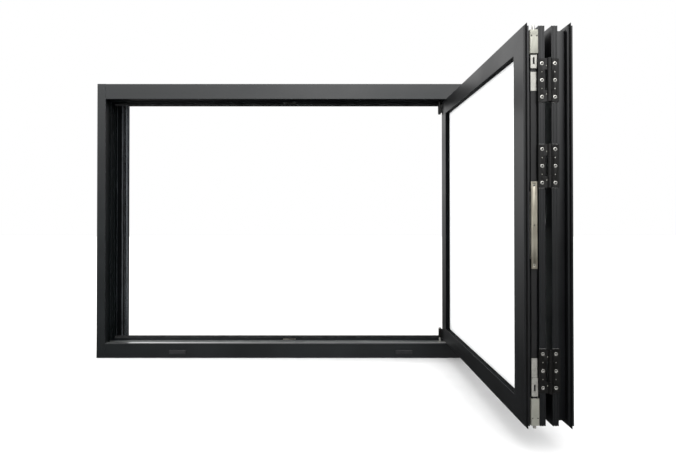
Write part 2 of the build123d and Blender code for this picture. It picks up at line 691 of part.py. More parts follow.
def faceplate_screw_sites():
    """Screws of the lock faceplate."""
    x = LEAF_W - 2
    return [(x, BOLT_V, MID_Z + dz) for dz in (-FACEPLATE_H / 2 + 9, FACEPLATE_H / 2 - 9)]


HOUSINGS = ((1.0, 63.0), (LEAF_H - CHANNEL_D - 55.0, LEAF_H - CHANNEL_D))


def bolt_housing(side):
    """Die-cast guide in the edge channel; its inner end is hollow for the rod connector."""
    w = LEAF_W
    z0, z1 = HOUSINGS[1] if side > 0 else HOUSINGS[0]
    body = block(w - CHANNEL_D, w + 0.5, CHANNEL_V + 0.2, CHANNEL_V + CHANNEL_W - 0.2, z0, z1)
    body = chamfer(body.edges().filter_by(Axis.Z).sort_by(Axis.X)[-2:], 1.2)
    hollow0 = z0 - 1 if side > 0 else z1 - HOLLOW_H
    hollow1 = z0 + HOLLOW_H if side > 0 else z1 + 1
    body -= block(w - CHANNEL_D - 1, w - 0.5, BOLT_V - 7.7, BOLT_V + 7.7, hollow0, hollow1)
    body -= rod_z(w - BOLT_U, BOLT_V, z0 - 1, z1 + 1, BOLT_R + RUN)
    for site in housing_screw_sites(side):
        body -= facing(site, (1, 0, 0), sink(11, 3.0, 1.5))
    return body


def housing_screw_sites(side):
    """Screws of a bolt housing, on both sides of the bolt."""
    x = LEAF_W + 0.5
    z = HOUSINGS[1][1] - 14 if side > 0 else HOUSINGS[0][0] + 17
    return [(x, BOLT_V - 6.2, z), (x, BOLT_V + 6.2, z)]


def lock_screws():
    """Screws of the faceplate and of both bolt housings."""
    screws = []
    for site in faceplate_screw_sites():
        screws.append(facing(site, (1, 0, 0), countersunk(9, 3.0, 1.5)))
    for side in (-1, 1):
        for site in housing_screw_sites(side):
            screws.append(facing(site, (1, 0, 0), countersunk(11, 3.0, 1.5)))
    return screws


def drive_rod(side):
    """Flat drive rod from the gearbox to a connector, slotted round the faceplate screw."""
    w = LEAF_W
    near = MID_Z + side * 42
    far = HOUSINGS[1][0] - 30 if side > 0 else HOUSINGS[0][1] + 42
    rod = block(w - 8, w - 5, BOLT_V - 6, BOLT_V + 6, min(near, far), max(near, far))
    screw = FACEPLATE_H / 2 - 9
    slot0 = MID_Z + side * (screw - BOLT_TRAVEL - 4)
    slot1 = MID_Z + side * (screw + 4)
    rod -= block(w - 9, w - 4, BOLT_V - 2.2, BOLT_V + 2.2, min(slot0, slot1), max(slot0, slot1))
    rod += rod_x(w - 16, w - 7, BOLT_V, MID_Z + side * 46, 2.4)
    return rod


def rod_plate(side):
    """Bright end plate riveted on a drive rod, beside the connector."""
    w = LEAF_W
    z0 = HOUSINGS[1][0] - 34 - 8 - ROD_PLATE_H if side > 0 else HOUSINGS[0][1] + 47
    return block(w - 5, w - 3.8, BOLT_V - 6.6, BOLT_V + 6.6, z0, z0 + ROD_PLATE_H)


def rod_connector(side):
    """Slotted plate that joins a drive rod to its shoot bolt."""
    w = LEAF_W
    z0 = HOUSINGS[1][0] - 34 if side > 0 else HOUSINGS[0][1] + 4
    z1 = HOUSINGS[1][0] - 3 if side > 0 else HOUSINGS[0][1] + 46
    plate = block(w - 5, w - 2, BOLT_V - 7.2, BOLT_V + 7.2, z0, z1)
    mid = (z0 + z1) / 2 + side * 2
    return plate - block(w - 5.5, w - 1.5, BOLT_V - 2.2, BOLT_V + 2.2, mid - 8, mid + 8)


def shoot_bolt(side):
    """Round shoot bolt with a flat tail under its connector."""
    w = LEAF_W
    x = w - BOLT_U
    if side > 0:
        root = HOUSINGS[1][0] + 1
        tail = block(w - 8, w - 5, BOLT_V - 3, BOLT_V + 3, root - 30, root + 2)
        return rod_z(x, BOLT_V, root, LEAF_H + 2, BOLT_R) + tail
    root = HOUSINGS[0][1] - 1
    tail = block(w - 8, w - 5, BOLT_V - 3, BOLT_V + 3, root - 2, root + 42)
    return rod_z(x, BOLT_V, -6, root, BOLT_R) + tail


def handle_rose():
    """Flat rose on the indoor face of the fold stile."""
    x = LEAF_W - HANDLE_U
    rose = block(x - 15, x + 15, LEAF_T, LEAF_T + 4, MID_Z - 55, MID_Z + 55)
    rose = fillet(rose.edges().filter_by(Axis.Y), 8)
    return rose - rod_y(x, LEAF_T - 1, LEAF_T + 5, MID_Z, 6.2)


def handle_lever():
    """Flat lever that fits in the gap between the folded leaves, pointing up when unlocked."""
    x = LEAF_W - HANDLE_U
    t0 = LEAF_T + 5.4
    t1 = LEAF_T + 12.6
    lever = rod_y(x, LEAF_T + 4.4, t1, MID_Z, 11)
    lever += block(x - 9, x + 9, t0, t1, MID_Z, MID_Z + 110)
    lever += rod_y(x, t0, t1, MID_Z + 110, 9)
    lever -= block(x - 3.6, x + 3.6, LEAF_T + 4, LEAF_T + 10.1, MID_Z - 3.6, MID_Z + 3.6)
    return lever


def handle_spindle():
    """Square spindle from the lock case into the lever."""
    x = LEAF_W - HANDLE_U
    return block(x - 3.5, x + 3.5, BOLT_V - 8, LEAF_T + 10, MID_Z - 3.5, MID_Z + 3.5)


# ================================================================ leaf stiles with their cut-outs
def plain_pivot_stile(stile):
    """Pivot stile of the outer leaf, drilled for the jamb hinges."""
    for z in HINGE_ZS:
        for site in edge_screw_sites(z, HINGE_SCREW_PITCH):
            stile -= rod_x(-1, LEAF_WALL + 1, site[1], site[2], SCREW_R + RUN)
    return stile


def bracket_pivot_stile(stile):
    """Pivot stile of the lead leaf, drilled for the two pivot brackets."""
    for z in BRACKET_ZS:
        for site in edge_screw_sites(z, BRACKET_PITCH):
            stile -= rod_x(-1, LEAF_WALL + 1, site[1], site[2], SCREW_R + RUN)
    return stile


def fold_stile(stile, locked):
    """Fold stile with hinge notches; the lead leaf's is also cut for the lock gear."""
    for z in HINGE_ZS:
        stile -= fold_notch(z)
        for site in fold_screw_sites(z):
            stile -= rod_x(LEAF_W - LEAF_WALL - 1, LEAF_W + 1, site[1], site[2], SCREW_R + RUN)
    if not locked:
        return stile
    stile = lock_slots(stile)
    floor0 = LEAF_W - CHANNEL_D - 3
    floor1 = LEAF_W - CHANNEL_D + 1
    sites = faceplate_screw_sites() + housing_screw_sites(-1) + housing_screw_sites(1)
    for site in sites:
        stile -= rod_x(floor0, floor1, site[1], site[2], 1.55)
    return stile


# ================================================================ track gear of the lead leaf
BRACKET_ZS = (6 + BRACKET_H / 2, LEAF_H - 6 - BRACKET_H / 2)
BRACKET_PITCH = 9.5
WHEEL_XS = (TRACK_X + 16, TRACK_X + 46)
WHEEL_Z = INNER_TOP + TRACK_LIP + RAIL_T + RUN + WHEEL_R
ROLLER_X = TRACK_X + 14


def pivot_bracket(z):
    """Bracket on the pivot edge of the lead leaf with a knuckle for the stem or the pin."""
    z0 = z - BRACKET_H / 2
    z1 = z + BRACKET_H / 2
    bracket = edge_plate(z0, z1, [(z0, z1)], BRACKET_R, STEM_R + RUN)
    for site in edge_screw_sites(z, BRACKET_PITCH):
        bracket -= facing(site, (-1, 0, 0), sink(8))
    return bracket


def carriage_body():
    """Carriage block that runs in the head track."""
    z = INNER_TOP + TRACK_LIP
    body = block(TRACK_X - BRACKET_R, TRACK_X + 58, PIVOT_Y - 6.5, PIVOT_Y + 6.5, z + 2, z + 26)
    body -= rod_z(TRACK_X, PIVOT_Y, z, z + 23, STEM_R + 0.02)
    for x in WHEEL_XS:
        body -= rod_y(x, PIVOT_Y - 8, PIVOT_Y + 8, WHEEL_Z, 2.5 + RUN)
    return body


def carriage_stem():
    """Stem from the carriage down through the upper pivot bracket, with a round foot."""
    low = LEAF_Z + BRACKET_ZS[1] - BRACKET_H / 2
    stem = rod_z(TRACK_X, PIVOT_Y, low - 4, INNER_TOP + TRACK_LIP + 22.5, STEM_R)
    return stem + rod_z(TRACK_X, PIVOT_Y, low - 4.5, low - 0.5, 5.2)


def wheel_set(x):
    """Two wheels on one axle through the carriage."""
    axle = rod_y(x, PIVOT_Y - 14.4, PIVOT_Y + 14.4, WHEEL_Z, 2.5)
    wheels = []
    for side in (-1, 1):
        y0 = PIVOT_Y + side * 8.4
        y1 = PIVOT_Y + side * 13.9
        wheel = rod_y(x, min(y0, y1), max(y0, y1), WHEEL_Z, WHEEL_R)
        wheels.append(wheel - rod_y(x, min(y0, y1) - 1, max(y0, y1) + 1, WHEEL_Z, 2.52))
    return [axle] + wheels


def guide_block():
    """Bottom guide block in the sill track, with the pin its roller turns on."""
    z = SILL_FACE
    body = block(TRACK_X - BRACKET_R, TRACK_X + 22, PIVOT_Y - 5, PIVOT_Y + 5, z - 8.5, z - 3)
    body -= rod_z(TRACK_X, PIVOT_Y, z - 9, z - 2, STEM_R + 0.02)
    return body + rod_z(ROLLER_X, PIVOT_Y, z - 19.5, z - 8, 2)


def guide_pin():
    """Pin from the guide block up through the lower pivot bracket, with a round head."""
    high = LEAF_Z + BRACKET_ZS[0] + BRACKET_H / 2
    pin = rod_z(TRACK_X, PIVOT_Y, SILL_FACE - 8.5, high + 4, STEM_R)
    return pin + rod_z(TRACK_X, PIVOT_Y, high + 0.5, high + 4.5, 5.2)


def guide_roller():
    """Nylon roller on the upright pin of the guide block."""
    z = SILL_FACE
    roller = rod_z(ROLLER_X, PIVOT_Y, z - 18.5, z - 9, ROLLER_R)
    return roller - rod_z(ROLLER_X, PIVOT_Y, z - 20, z - 8, 2 + RUN)


# ================================================================ placing the leaves
def on_lead(shape):
    """Leaf coordinates to the lead leaf standing open, indoor face to the right."""
    return Pos(LEAD_X, EDGE_Y, LEAF_Z) * Rot(0, 0, -90) * shape


def on_outer(shape):
    """Leaf coordinates to the outer leaf, the mirror of the lead leaf about the fold."""
    return mirror(on_lead(shape), about=Plane.YZ.offset(FOLD_X))


def write_leaf(prefix, place, locked):
    """Write the members and the glazing of one leaf."""
    pivot, fold, bottom, top = four_sides(leaf_section(), LEAF_FACE)
    pivot = bracket_pivot_stile(pivot) if locked else plain_pivot_stile(pivot)
    write(prefix + "_pivot_stile", place(pivot))
    write(prefix + "_fold_stile", place(fold_stile(fold, locked)))
    write(prefix + "_bottom_rail", place(bottom))
    write(prefix + "_top_rail", place(top))
    groups = {
        "_glass_panes": glass_panes(),
        "_glass_spacer": [spacer()],
        "_glazing_beads": beads(),
        "_glazing_gaskets": glazing_gaskets(),
        "_setting_blocks": setting_blocks(),
        "_corner_cleats": corner_cleats(),
    }
    for name, shapes in groups.items():
        write(prefix + name, *[place(shape) for shape in shapes])


def write_frame():
    """Write everything that stays fixed to the wall."""
    write("left_jamb", jamb())
    write("right_jamb", right_jamb())
    write("head_rail", head_rail())
    write("sill_rail", sill_rail())
    write("frame_joint_screws", *frame_joint_screws())
    write("inner_stops", stop_profile(), mirror(stop_profile(), about=Plane.YZ))
    write("stop_gaskets", jamb_gasket(), mirror(jamb_gasket(), about=Plane.YZ))
    write("weather_brushes", *weather_brushes())
    write("head_track_strips", *head_track_rails())
    write("sill_track", sill_track())
    write("drain_covers", drain_cover(-DRAIN_X), drain_cover(DRAIN_X))
    write("strike_plates", strike_plate(INNER_TOP, -1), strike_plate(SILL_FACE - 2, 1))
    write("jamb_hinge_fixed_plates", *[jamb_hinge_plate(z) for z in HINGE_ZS])
    pins = [hinge_pin(PIVOT_X, PIVOT_Y, LEAF_Z + z) for z in HINGE_ZS]
    write("jamb_hinge_pins", *pins)
    screws = [screw for z in HINGE_ZS for screw in jamb_hinge_screws(z)]
    write("frame_hardware_screws", *screws, *strike_screws())


def write_outer_hardware():
    """Write the hinge plates and screws that swing with the outer leaf."""
    write("jamb_hinge_leaf_plates", *[on_outer(pivot_hinge_plate(z)) for z in HINGE_ZS])
    write("fold_hinge_outer_plates", *[on_outer(fold_plate(z, False)) for z in HINGE_ZS])
    screws = []
    for z in HINGE_ZS:
        for site in edge_screw_sites(z, HINGE_SCREW_PITCH):
            screws.append(on_outer(facing(site, (-1, 0, 0), countersunk(14))))
        for site in fold_screw_sites(z):
            screws.append(on_outer(facing(site, (1, 0, 0), countersunk(14))))
        for screw in plate_set_screws(z):
            screws.append(on_outer(screw))
    write("outer_leaf_hinge_screws", *screws)


def write_lead_hardware():
    """Write the hinge plates, screws, brackets and lock gear that ride on the lead leaf."""
    write("fold_hinge_lead_plates", *[on_lead(fold_plate(z, True)) for z in HINGE_ZS])
    pins = [on_lead(hinge_pin(LEAF_W + FOLD_EDGE, LEAF_T + FOLD_GAP / 2, z)) for z in HINGE_ZS]
    write("fold_hinge_pins", *pins)
    screws = []
    for z in HINGE_ZS:
        for site in fold_screw_sites(z):
            screws.append(on_lead(facing(site, (1, 0, 0), countersunk(14))))
    for z in BRACKET_ZS:
        for site in edge_screw_sites(z, BRACKET_PITCH):
            screws.append(on_lead(facing(site, (-1, 0, 0), countersunk(14))))
    write("lead_leaf_hinge_screws", *screws)
    set_screws = []
    for z in HINGE_ZS:
        for x, y, at in set_screw_sites(z):
            set_screws.append(on_lead(rod_x(x + 0.2, x + 2.6, y, at, 1.5)))
        for screw in plate_set_screws(z):
            set_screws.append(on_lead(screw))
    write("pivot_brackets", *[on_lead(pivot_bracket(z)) for z in BRACKET_ZS])
    write("lock_gearbox", on_lead(gearbox()))
    write("lock_faceplate", on_lead(faceplate()))
    write("bolt_housings", on_lead(bolt_housing(-1)), on_lead(bolt_housing(1)))
    write("lead_leaf_small_screws", *set_screws, *[on_lead(screw) for screw in lock_screws()])
    write("handle_rose", on_lead(handle_rose()))


def write_moving_gear():
    """Write the handle, the two bolt trains, the carriage and the bottom guide."""
    write("handle_lever", on_lead(handle_lever()))
    write("handle_spindle", on_lead(handle_spindle()))
    for side, name in ((1, "upper"), (-1, "lower")):
        rods = (drive_rod(side), rod_connector(side), rod_plate(side))
        write(name + "_drive_rod", *[on_lead(shape) for shape in rods])
        write(name + "_shoot_bolt", on_lead(shoot_bolt(side)))
    write("carriage_body", carriage_body())
    write("carriage_stem", carriage_stem())
    write("carriage_near_wheels", *wheel_set(WHEEL_XS[0]))
    write("carriage_far_wheels", *wheel_set(WHEEL_XS[1]))
    write("guide_block", guide_block(), guide_pin())
    write("guide_roller", guide_roller())


def main():
    """Write every node of the window."""
    os.makedirs("parts", exist_ok=True)
    write_frame()
    write_leaf("outer_leaf", on_outer, False)
    write_leaf("lead_leaf", on_lead, True)
    write_outer_hardware()
    write_lead_hardware()
    write_moving_gear()


main()
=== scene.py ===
"""Looks of a two-leaf folding window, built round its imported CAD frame."""

import json
import math

import bmesh
import bpy
import numpy as np
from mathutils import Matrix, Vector


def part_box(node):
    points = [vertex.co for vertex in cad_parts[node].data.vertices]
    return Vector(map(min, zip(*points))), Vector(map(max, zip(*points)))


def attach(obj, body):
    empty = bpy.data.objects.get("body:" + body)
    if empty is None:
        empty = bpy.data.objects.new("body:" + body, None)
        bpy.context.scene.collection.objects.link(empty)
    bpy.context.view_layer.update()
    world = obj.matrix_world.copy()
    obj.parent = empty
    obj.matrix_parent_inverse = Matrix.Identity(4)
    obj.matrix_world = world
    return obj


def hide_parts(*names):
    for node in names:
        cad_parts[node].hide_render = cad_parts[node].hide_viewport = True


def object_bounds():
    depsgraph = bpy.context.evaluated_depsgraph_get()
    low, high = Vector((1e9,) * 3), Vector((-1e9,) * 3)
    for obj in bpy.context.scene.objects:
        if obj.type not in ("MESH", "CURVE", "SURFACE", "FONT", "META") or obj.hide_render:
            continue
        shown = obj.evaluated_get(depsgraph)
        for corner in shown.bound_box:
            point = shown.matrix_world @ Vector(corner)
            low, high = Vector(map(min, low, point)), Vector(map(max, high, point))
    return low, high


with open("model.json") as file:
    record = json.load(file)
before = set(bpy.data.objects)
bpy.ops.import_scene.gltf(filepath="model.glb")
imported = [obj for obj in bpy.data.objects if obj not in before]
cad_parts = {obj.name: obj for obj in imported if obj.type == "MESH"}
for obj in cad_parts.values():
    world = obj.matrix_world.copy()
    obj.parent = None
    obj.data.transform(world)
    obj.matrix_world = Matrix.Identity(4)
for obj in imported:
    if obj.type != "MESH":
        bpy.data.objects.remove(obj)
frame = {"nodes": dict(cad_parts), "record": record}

bl_info = {
    "name": "Folding window looks",
    "version": (1, 0, 0),
    "blender": (4, 5, 0),
    "location": "3D View > Sidebar > Window",
    "description": "Detailed pieces and finishes for an aluminium folding window",
    "category": "Object",
}

CAD_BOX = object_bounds()
NODES = frame["nodes"]
BODY_OF = {}
for body_name, members in frame["record"]["behaviour"]["bodies"].items():
    BODY_OF.update({node: body_name for node in members})
LEAVES = ("outer_leaf", "lead_leaf")
# Each member's axis across, and which end of its box there faces the glass.
MEMBERS = {"_pivot_stile": (1, 0), "_fold_stile": (1, 1), "_bottom_rail": (2, 1),
           "_top_rail": (2, 0)}
MM = 0.001
FLAT = math.radians(0.6)    # facets that meet flatter than this are joined
SHARP = math.radians(35)    # edges sharper than this are rounded
DOUBLES = 2e-6              # metres between points of the CAD mesh that are one
FLUSH = 0.3 * MM            # slack when a face is picked by the plane it lies in
SKIN = 1 * MM               # the same where the next face is far off
NOTCH = 1 * MM              # depth of the hinge notches in the fold stiles
ROD_PLATE_T = 2.9 * MM      # from the front of a drive rod's bright plate to its dark strip
CLOUD_SHADES = (0.8, 1.3)   # darkest and lightest clouds of powder coat against its colour
RIDGE_HIGHLIGHT_GAIN = 22             # painted highlight on the ridges, how much paler than the edge highlight colour
RECESS_PAINTED_SHADE = 0.6          # painted shade: the coat in recesses against the leaf colour
BRUSH_SEEDS = (7, 8)        # random seeds of the upper and the lower brush
FINISH = {}


def linear(code):
    """Turn an sRGB hex colour into linear RGBA: the two pieces of the sRGB curve."""
    value = np.array([int(code[i:i + 2], 16) for i in (1, 3, 5)]) / 255
    low = value / 12.92
    high = ((value + 0.055) / 1.055) ** 2.4
    return (*np.where(value <= 0.04045, low, high).tolist(), 1.0)


# ---------------------------------------------------------------- node trees
def add(tree, kind, values=None, links=None, **settings):
    """Add one shader node, set its settings and input values, and link its inputs."""
    node = tree.nodes.new("ShaderNode" + kind)
    for key, value in settings.items():
        setattr(node, key, value)
    for key, value in (values or {}).items():
        node.inputs[key].default_value = value
    for key, source in (links or {}).items():
        tree.links.new(source, node.inputs[key])
    return node


def start(name, values):
    """A new material: its tree, its Principled shader and the Object coordinates."""
    finish = bpy.data.materials.new(name)
    finish.use_nodes = True
    tree = finish.node_tree
    tree.nodes.clear()
    surface = add(tree, "BsdfPrincipled", values)
    add(tree, "OutputMaterial", links={"Surface": surface.outputs["BSDF"]})
    place = add(tree, "TexCoord").outputs["Object"]
    FINISH[name] = finish
    return tree, surface, place


def vary(tree, surface, source, dark, light, rough):
    """Drive the colour between two shades and the roughness between two values.

    Noise seldom leaves 0.3 to 0.7, so that stretch of it takes the whole change.
    """
    shade = add(tree, "ValToRGB", links={"Fac": source})
    for stop, place, colour in zip(shade.color_ramp.elements, (0.3, 0.7), (dark, light)):
        stop.position = place
        stop.color = colour
    tree.links.new(shade.outputs["Color"], surface.inputs["Base Color"])
    span = {"From Min": 0.3, "From Max": 0.7, "To Min": rough[0], "To Max": rough[1]}
    gloss = add(tree, "MapRange", span, {"Value": source})
    tree.links.new(gloss.outputs["Result"], surface.inputs["Roughness"])


def emboss(tree, surface, height, depth, strength):
    """Bump from a height output; depth in metres."""
    bump = add(tree, "Bump", {"Strength": strength, "Distance": depth}, {"Height": height})
    tree.links.new(bump.outputs["Normal"], surface.inputs["Normal"])


# ---------------------------------------------------------------- finishes
def powder_coat(name, colour, rough, specular):
    """Polyester powder coat of one colour, sprayed and baked on an extrusion.

    A satin film with orange peel about 1.6 mm across and slow clouds of sheen
    about 140 mm long, so a flat face never shades quite evenly.
    """
    tree, surface, place = start(name, {"Specular IOR Level": specular})
    clouds = add(tree, "TexNoise", {"Scale": 1 / (140 * MM), "Detail": 3.0}, {"Vector": place})
    peel = add(tree, "TexNoise", {"Scale": 1 / (1.6 * MM), "Detail": 1.0}, {"Vector": place})
    dark, light = ([shade * c for c in colour] + [1] for shade in CLOUD_SHADES)
    vary(tree, surface, clouds.outputs["Fac"], dark, light, rough)
    emboss(tree, surface, peel.outputs["Fac"], 0.03 * MM, 0.5)


def drawn_metal(name, dark, light, rough, lines, stretch, depth, metallic=1.0):
    """Metal with lines left by rolling, drawing or brushing.

    Lines a given distance apart in mm run along one axis, by noise squeezed across
    them, over slow clouds where the metal has been handled.
    """
    tree, surface, place = start(name, {"Metallic": metallic})
    across = add(tree, "Mapping", {"Scale": stretch}, {"Vector": place})
    grain = add(tree, "TexNoise", {"Scale": 1 / (lines * MM), "Detail": 2.0},
                {"Vector": across.outputs["Vector"]})
    clouds = add(tree, "TexNoise", {"Scale": 1 / (35 * MM), "Detail": 3.0}, {"Vector": place})
    both = add(tree, "Math", {1: 0.55}, {0: clouds.outputs["Fac"]}, operation="MULTIPLY")
    both = add(tree, "Math", {1: 0.45}, {0: grain.outputs["Fac"], 2: both.outputs[0]},
               operation="MULTIPLY_ADD")
    vary(tree, surface, both.outputs[0], linear(dark), linear(light), rough)
    emboss(tree, surface, grain.outputs["Fac"], depth * MM, 0.6)


def plated_steel(name, dark, light, rough):
    """Bright zinc plating on pressed steel.

    Crystal patches 4 mm across in two silvers, with dull handling marks, are what
    tells zinc from polished steel. Its milky passivation scatters part of the light.
    """
    tree, surface, place = start(name, {"Metallic": 0.5})
    patch = add(tree, "TexVoronoi", {"Scale": 1 / (4 * MM)}, {"Vector": place})
    marks = add(tree, "TexNoise", {"Scale": 1 / (12 * MM), "Detail": 4.0}, {"Vector": place})
    tone = add(tree, "SeparateColor", links={"Color": patch.outputs["Color"]})
    both = add(tree, "Math", {1: 0.3}, {0: tone.outputs["Red"]}, operation="MULTIPLY")
    both = add(tree, "Math", {1: 0.7}, {0: marks.outputs["Fac"], 2: both.outputs[0]},
               operation="MULTIPLY_ADD")
    vary(tree, surface, both.outputs[0], linear(dark), linear(light), rough)
    emboss(tree, surface, marks.outputs["Fac"], 0.02 * MM, 0.3)


def cast_metal(name, dark, light, rough, grit, metallic, specular=0.5):
    """Die casting, blasted to a fine grit and then plated or painted.

    The grit breaks highlights into a soft sparkle; edges and flats differ slowly.
    """
    tree, surface, place = start(name, {"Metallic": metallic, "Specular IOR Level": specular})
    fine = add(tree, "TexNoise", {"Scale": 1 / (grit * MM), "Detail": 2.0}, {"Vector": place})
    slow = add(tree, "TexNoise", {"Scale": 1 / (20 * MM), "Detail": 3.0}, {"Vector": place})
    both = add(tree, "Math", {1: 0.5}, {0: fine.outputs["Fac"]}, operation="MULTIPLY")
    both = add(tree, "Math", {1: 0.5}, {0: slow.outputs["Fac"], 2: both.outputs[0]},
               operation="MULTIPLY_ADD")
    vary(tree, surface, both.outputs[0], linear(dark), linear(light), rough)
    emboss(tree, surface, fine.outputs["Fac"], 0.05 * MM, 0.5)


def moulded(name, dark, light, rough, grain, specular=0.4, stretch=(1, 1, 1)):
    """Moulded or extruded polymer with a spark-eroded grain or drawn lines.

    A dull face with a grain of the given size in mm, so light spreads evenly.
    """
    tree, surface, place = start(name, {"Specular IOR Level": specular})
    across = add(tree, "Mapping", {"Scale": stretch}, {"Vector": place})
    fine = add(tree, "TexNoise", {"Scale": 1 / (grain * MM), "Detail": 3.0},
               {"Vector": across.outputs["Vector"]})
    slow = add(tree, "TexNoise", {"Scale": 1 / (25 * MM), "Detail": 2.0}, {"Vector": place})
    vary(tree, surface, slow.outputs["Fac"], linear(dark), linear(light), rough)
    emboss(tree, surface, fine.outputs["Fac"], 0.04 * MM, 0.6)


def float_glass(name, hazed):
    """Low-iron float glass, plain or with a satin solar coating.

    Seen square on it is nearly clear with a trace of haze; seen along the pane a
    coating turns evenly pale, as its haze scatters the light of the room, under a
    thin sharp reflection. Roller waves 90 mm apart bend that reflection. hazed is
    the share of haze along the pane.
    """
    finish = bpy.data.materials.new(name)
    finish.use_nodes = True
    tree = finish.node_tree
    tree.nodes.clear()
    place = add(tree, "TexCoord").outputs["Object"]
    across = add(tree, "Mapping", {"Scale": (1, 1, 0.15)}, {"Vector": place})
    waves = add(tree, "TexNoise", {"Scale": 1 / (90 * MM), "Detail": 0.0},
                {"Vector": across.outputs["Vector"]})
    bump = add(tree, "Bump", {"Strength": 0.05, "Distance": 0.1 * MM},
               {"Height": waves.outputs["Fac"]})
    tint = add(tree, "ValToRGB", links={"Fac": waves.outputs["Fac"]})
    tint.color_ramp.elements[0].color = linear("#fbfdfc")
    tint.color_ramp.elements[1].color = linear("#fdfefe")
    clear = add(tree, "BsdfTransparent", links={"Color": tint.outputs["Color"]})
    haze = add(tree, "BsdfDiffuse", {"Color": linear("#fbfcfc")})
    mirror = add(tree, "BsdfGlossy", {"Color": linear("#fbfcfc"), "Roughness": 0.03},
                 {"Normal": bump.outputs["Normal"]})
    # Facing is 0 square on and 1 along the pane; the haze sets in between.
    along = add(tree, "LayerWeight", {"Blend": 0.5})
    span = {"From Min": 0.2, "From Max": 0.56, "To Min": 0.05, "To Max": hazed}
    share = add(tree, "MapRange", span, {"Value": along.outputs["Facing"]},
                interpolation_type="SMOOTHSTEP")
    coated = add(tree, "MixShader", links={"Fac": share.outputs["Result"],
                 1: clear.outputs["BSDF"], 2: haze.outputs["BSDF"]})
    mixed = add(tree, "MixShader", {"Fac": 0.06}, {1: coated.outputs["Shader"],
                2: mirror.outputs["BSDF"]})
    add(tree, "OutputMaterial", links={"Surface": mixed.outputs["Shader"]})
    FINISH[name] = finish


def make_finishes():
    """Every finish of the window, each with what the eye sees of it."""
    look = bpy.context.scene.window_look
    # Satin near-black that turns grey only where it mirrors the bright upper room.
    powder_coat("powder_coat_on_frame_extrusion", look.frame_colour, (0.36, 0.44), 0.42)
    # The same film on the leaves, a little more neutral.
    powder_coat("powder_coat_on_leaf_extrusion", look.leaf_colour, (0.36, 0.44), 0.42)
    # A fine painted highlight: a lighter coat on every rounded edge.
    powder_coat("powder_coat_painted_highlight_on_edges", look.edge_highlight_colour, (0.28, 0.36), 0.6)
    # Painted highlights: pale hairlines along the ridges of the jambs and the inner stops.
    ridge_highlight = [RIDGE_HIGHLIGHT_GAIN * c for c in look.edge_highlight_colour]
    powder_coat("powder_coat_painted_highlight_on_ridges", ridge_highlight, (0.25, 0.35), 1.0)
    # Dull top of the sill, which mirrors almost nothing even along the surface.
    powder_coat("powder_coat_scuffed_on_sill", look.frame_colour, (0.55, 0.7), 0.1)
    # Painted shade: the coat darker and duller on reveals and stops, so they stay deep black.
    recess_shade_colour = [RECESS_PAINTED_SHADE * c for c in look.leaf_colour]
    powder_coat("powder_coat_painted_shade_in_recesses", recess_shade_colour, (0.6, 0.75), 0.04)
    # Bright saw-cut metal with lines across, seen in notches and on cleats.
    drawn_metal("extruded_aluminium_sawn_bare", "#a5a6a4", "#d0d0cd", (0.30, 0.45), 0.8,
                (1, 1, 0.05), 0.05)
    # Warm grey strip with upright brush lines.
    drawn_metal("brushed_stainless_steel_strip", "#8e897a", "#bdb8aa", (0.26, 0.40), 0.7,
                (1, 1, 0.03), 0.02)
    # Bright clean strip with lines along the track.
    drawn_metal("rolled_stainless_track_strip", "#b4b6b6", "#dfe0df", (0.16, 0.28), 0.9,
                (0.03, 1, 1), 0.02)
    # The same strip darker and duller, a thin grey line along the sill.
    drawn_metal("rolled_stainless_sill_track", "#8a8c8c", "#a3a5a5", (0.3, 0.42), 0.9,
                (0.03, 1, 1), 0.02, 0.8)
    # Bright silver dots, slightly warm.
    drawn_metal("turned_stainless_screws", "#a3a29d", "#cbc9c3", (0.2, 0.32), 0.5,
                (1, 1, 1), 0.02, 0.7)
    # Light silver plates with faint crystal patches.
    plated_steel("zinc_plated_pressed_steel", "#96958f", "#a9a8a2", (0.3, 0.4))
    # Pale satin blocks with a slight green-yellow cast.
    cast_metal("satin_plated_zinc_casting", "#8b8b82", "#9f9f95", (0.38, 0.5), 0.6, 0.55)
    # Black plates, a shade blacker and drier than the leaf behind them.
    cast_metal("black_coated_hinge_casting", "#070706", "#0e0d0c", (0.34, 0.46), 0.7, 0.0, 0.22)
    # Smoother black with a clear highlight where a hand has polished it.
    cast_metal("black_enamelled_handle_casting", "#0b0b0c", "#121213", (0.24, 0.32), 0.7, 0.0, 0.5)
    # Matt black strip that hardly shows inside its channel.
    cast_metal("black_phosphated_steel_strip", "#060607", "#0c0c0d", (0.45, 0.6), 1.0, 0.2)
    # Painted shade in the socket in the middle of a bright head.
    cast_metal("painted_shade_in_screw_sockets", "#0a0a0a", "#1c1b1a", (0.35, 0.5), 0.8, 0.3)
    # Dead matt black line round the glass.
    moulded("extruded_epdm_rubber", "#070708", "#0e0e0f", (0.62, 0.8), 0.9, 0.12, (0.1, 0.1, 0.1))
    # Plain mid grey blocks under the glass.
    moulded("extruded_pvc_grey", "#6d7072", "#7f8284", (0.45, 0.6), 0.8)
    # Slightly lighter than the coat round it.
    moulded("injected_black_nylon", "#1a1b1d", "#242527", (0.38, 0.5), 0.6)
    # Off-white wheels with a soft gloss.
    moulded("white_acetal_rollers", "#dcdcd8", "#eeeeea", (0.3, 0.42), 0.5)
    # Soft charcoal pile.
    moulded("polypropylene_brush_pile", "#1b1c1d", "#3a3b3c", (0.7, 0.85), 0.4)
    # Black bar between the panes.
    moulded("black_warm_edge_spacer", "#17181a", "#222426", (0.45, 0.6), 1.2)
    # White seen along the pane, nearly clear seen square on.
    float_glass("satin_coated_float_glass", 0.985)
    # Nearly clear from everywhere.
    float_glass("clear_float_glass", 0.1)


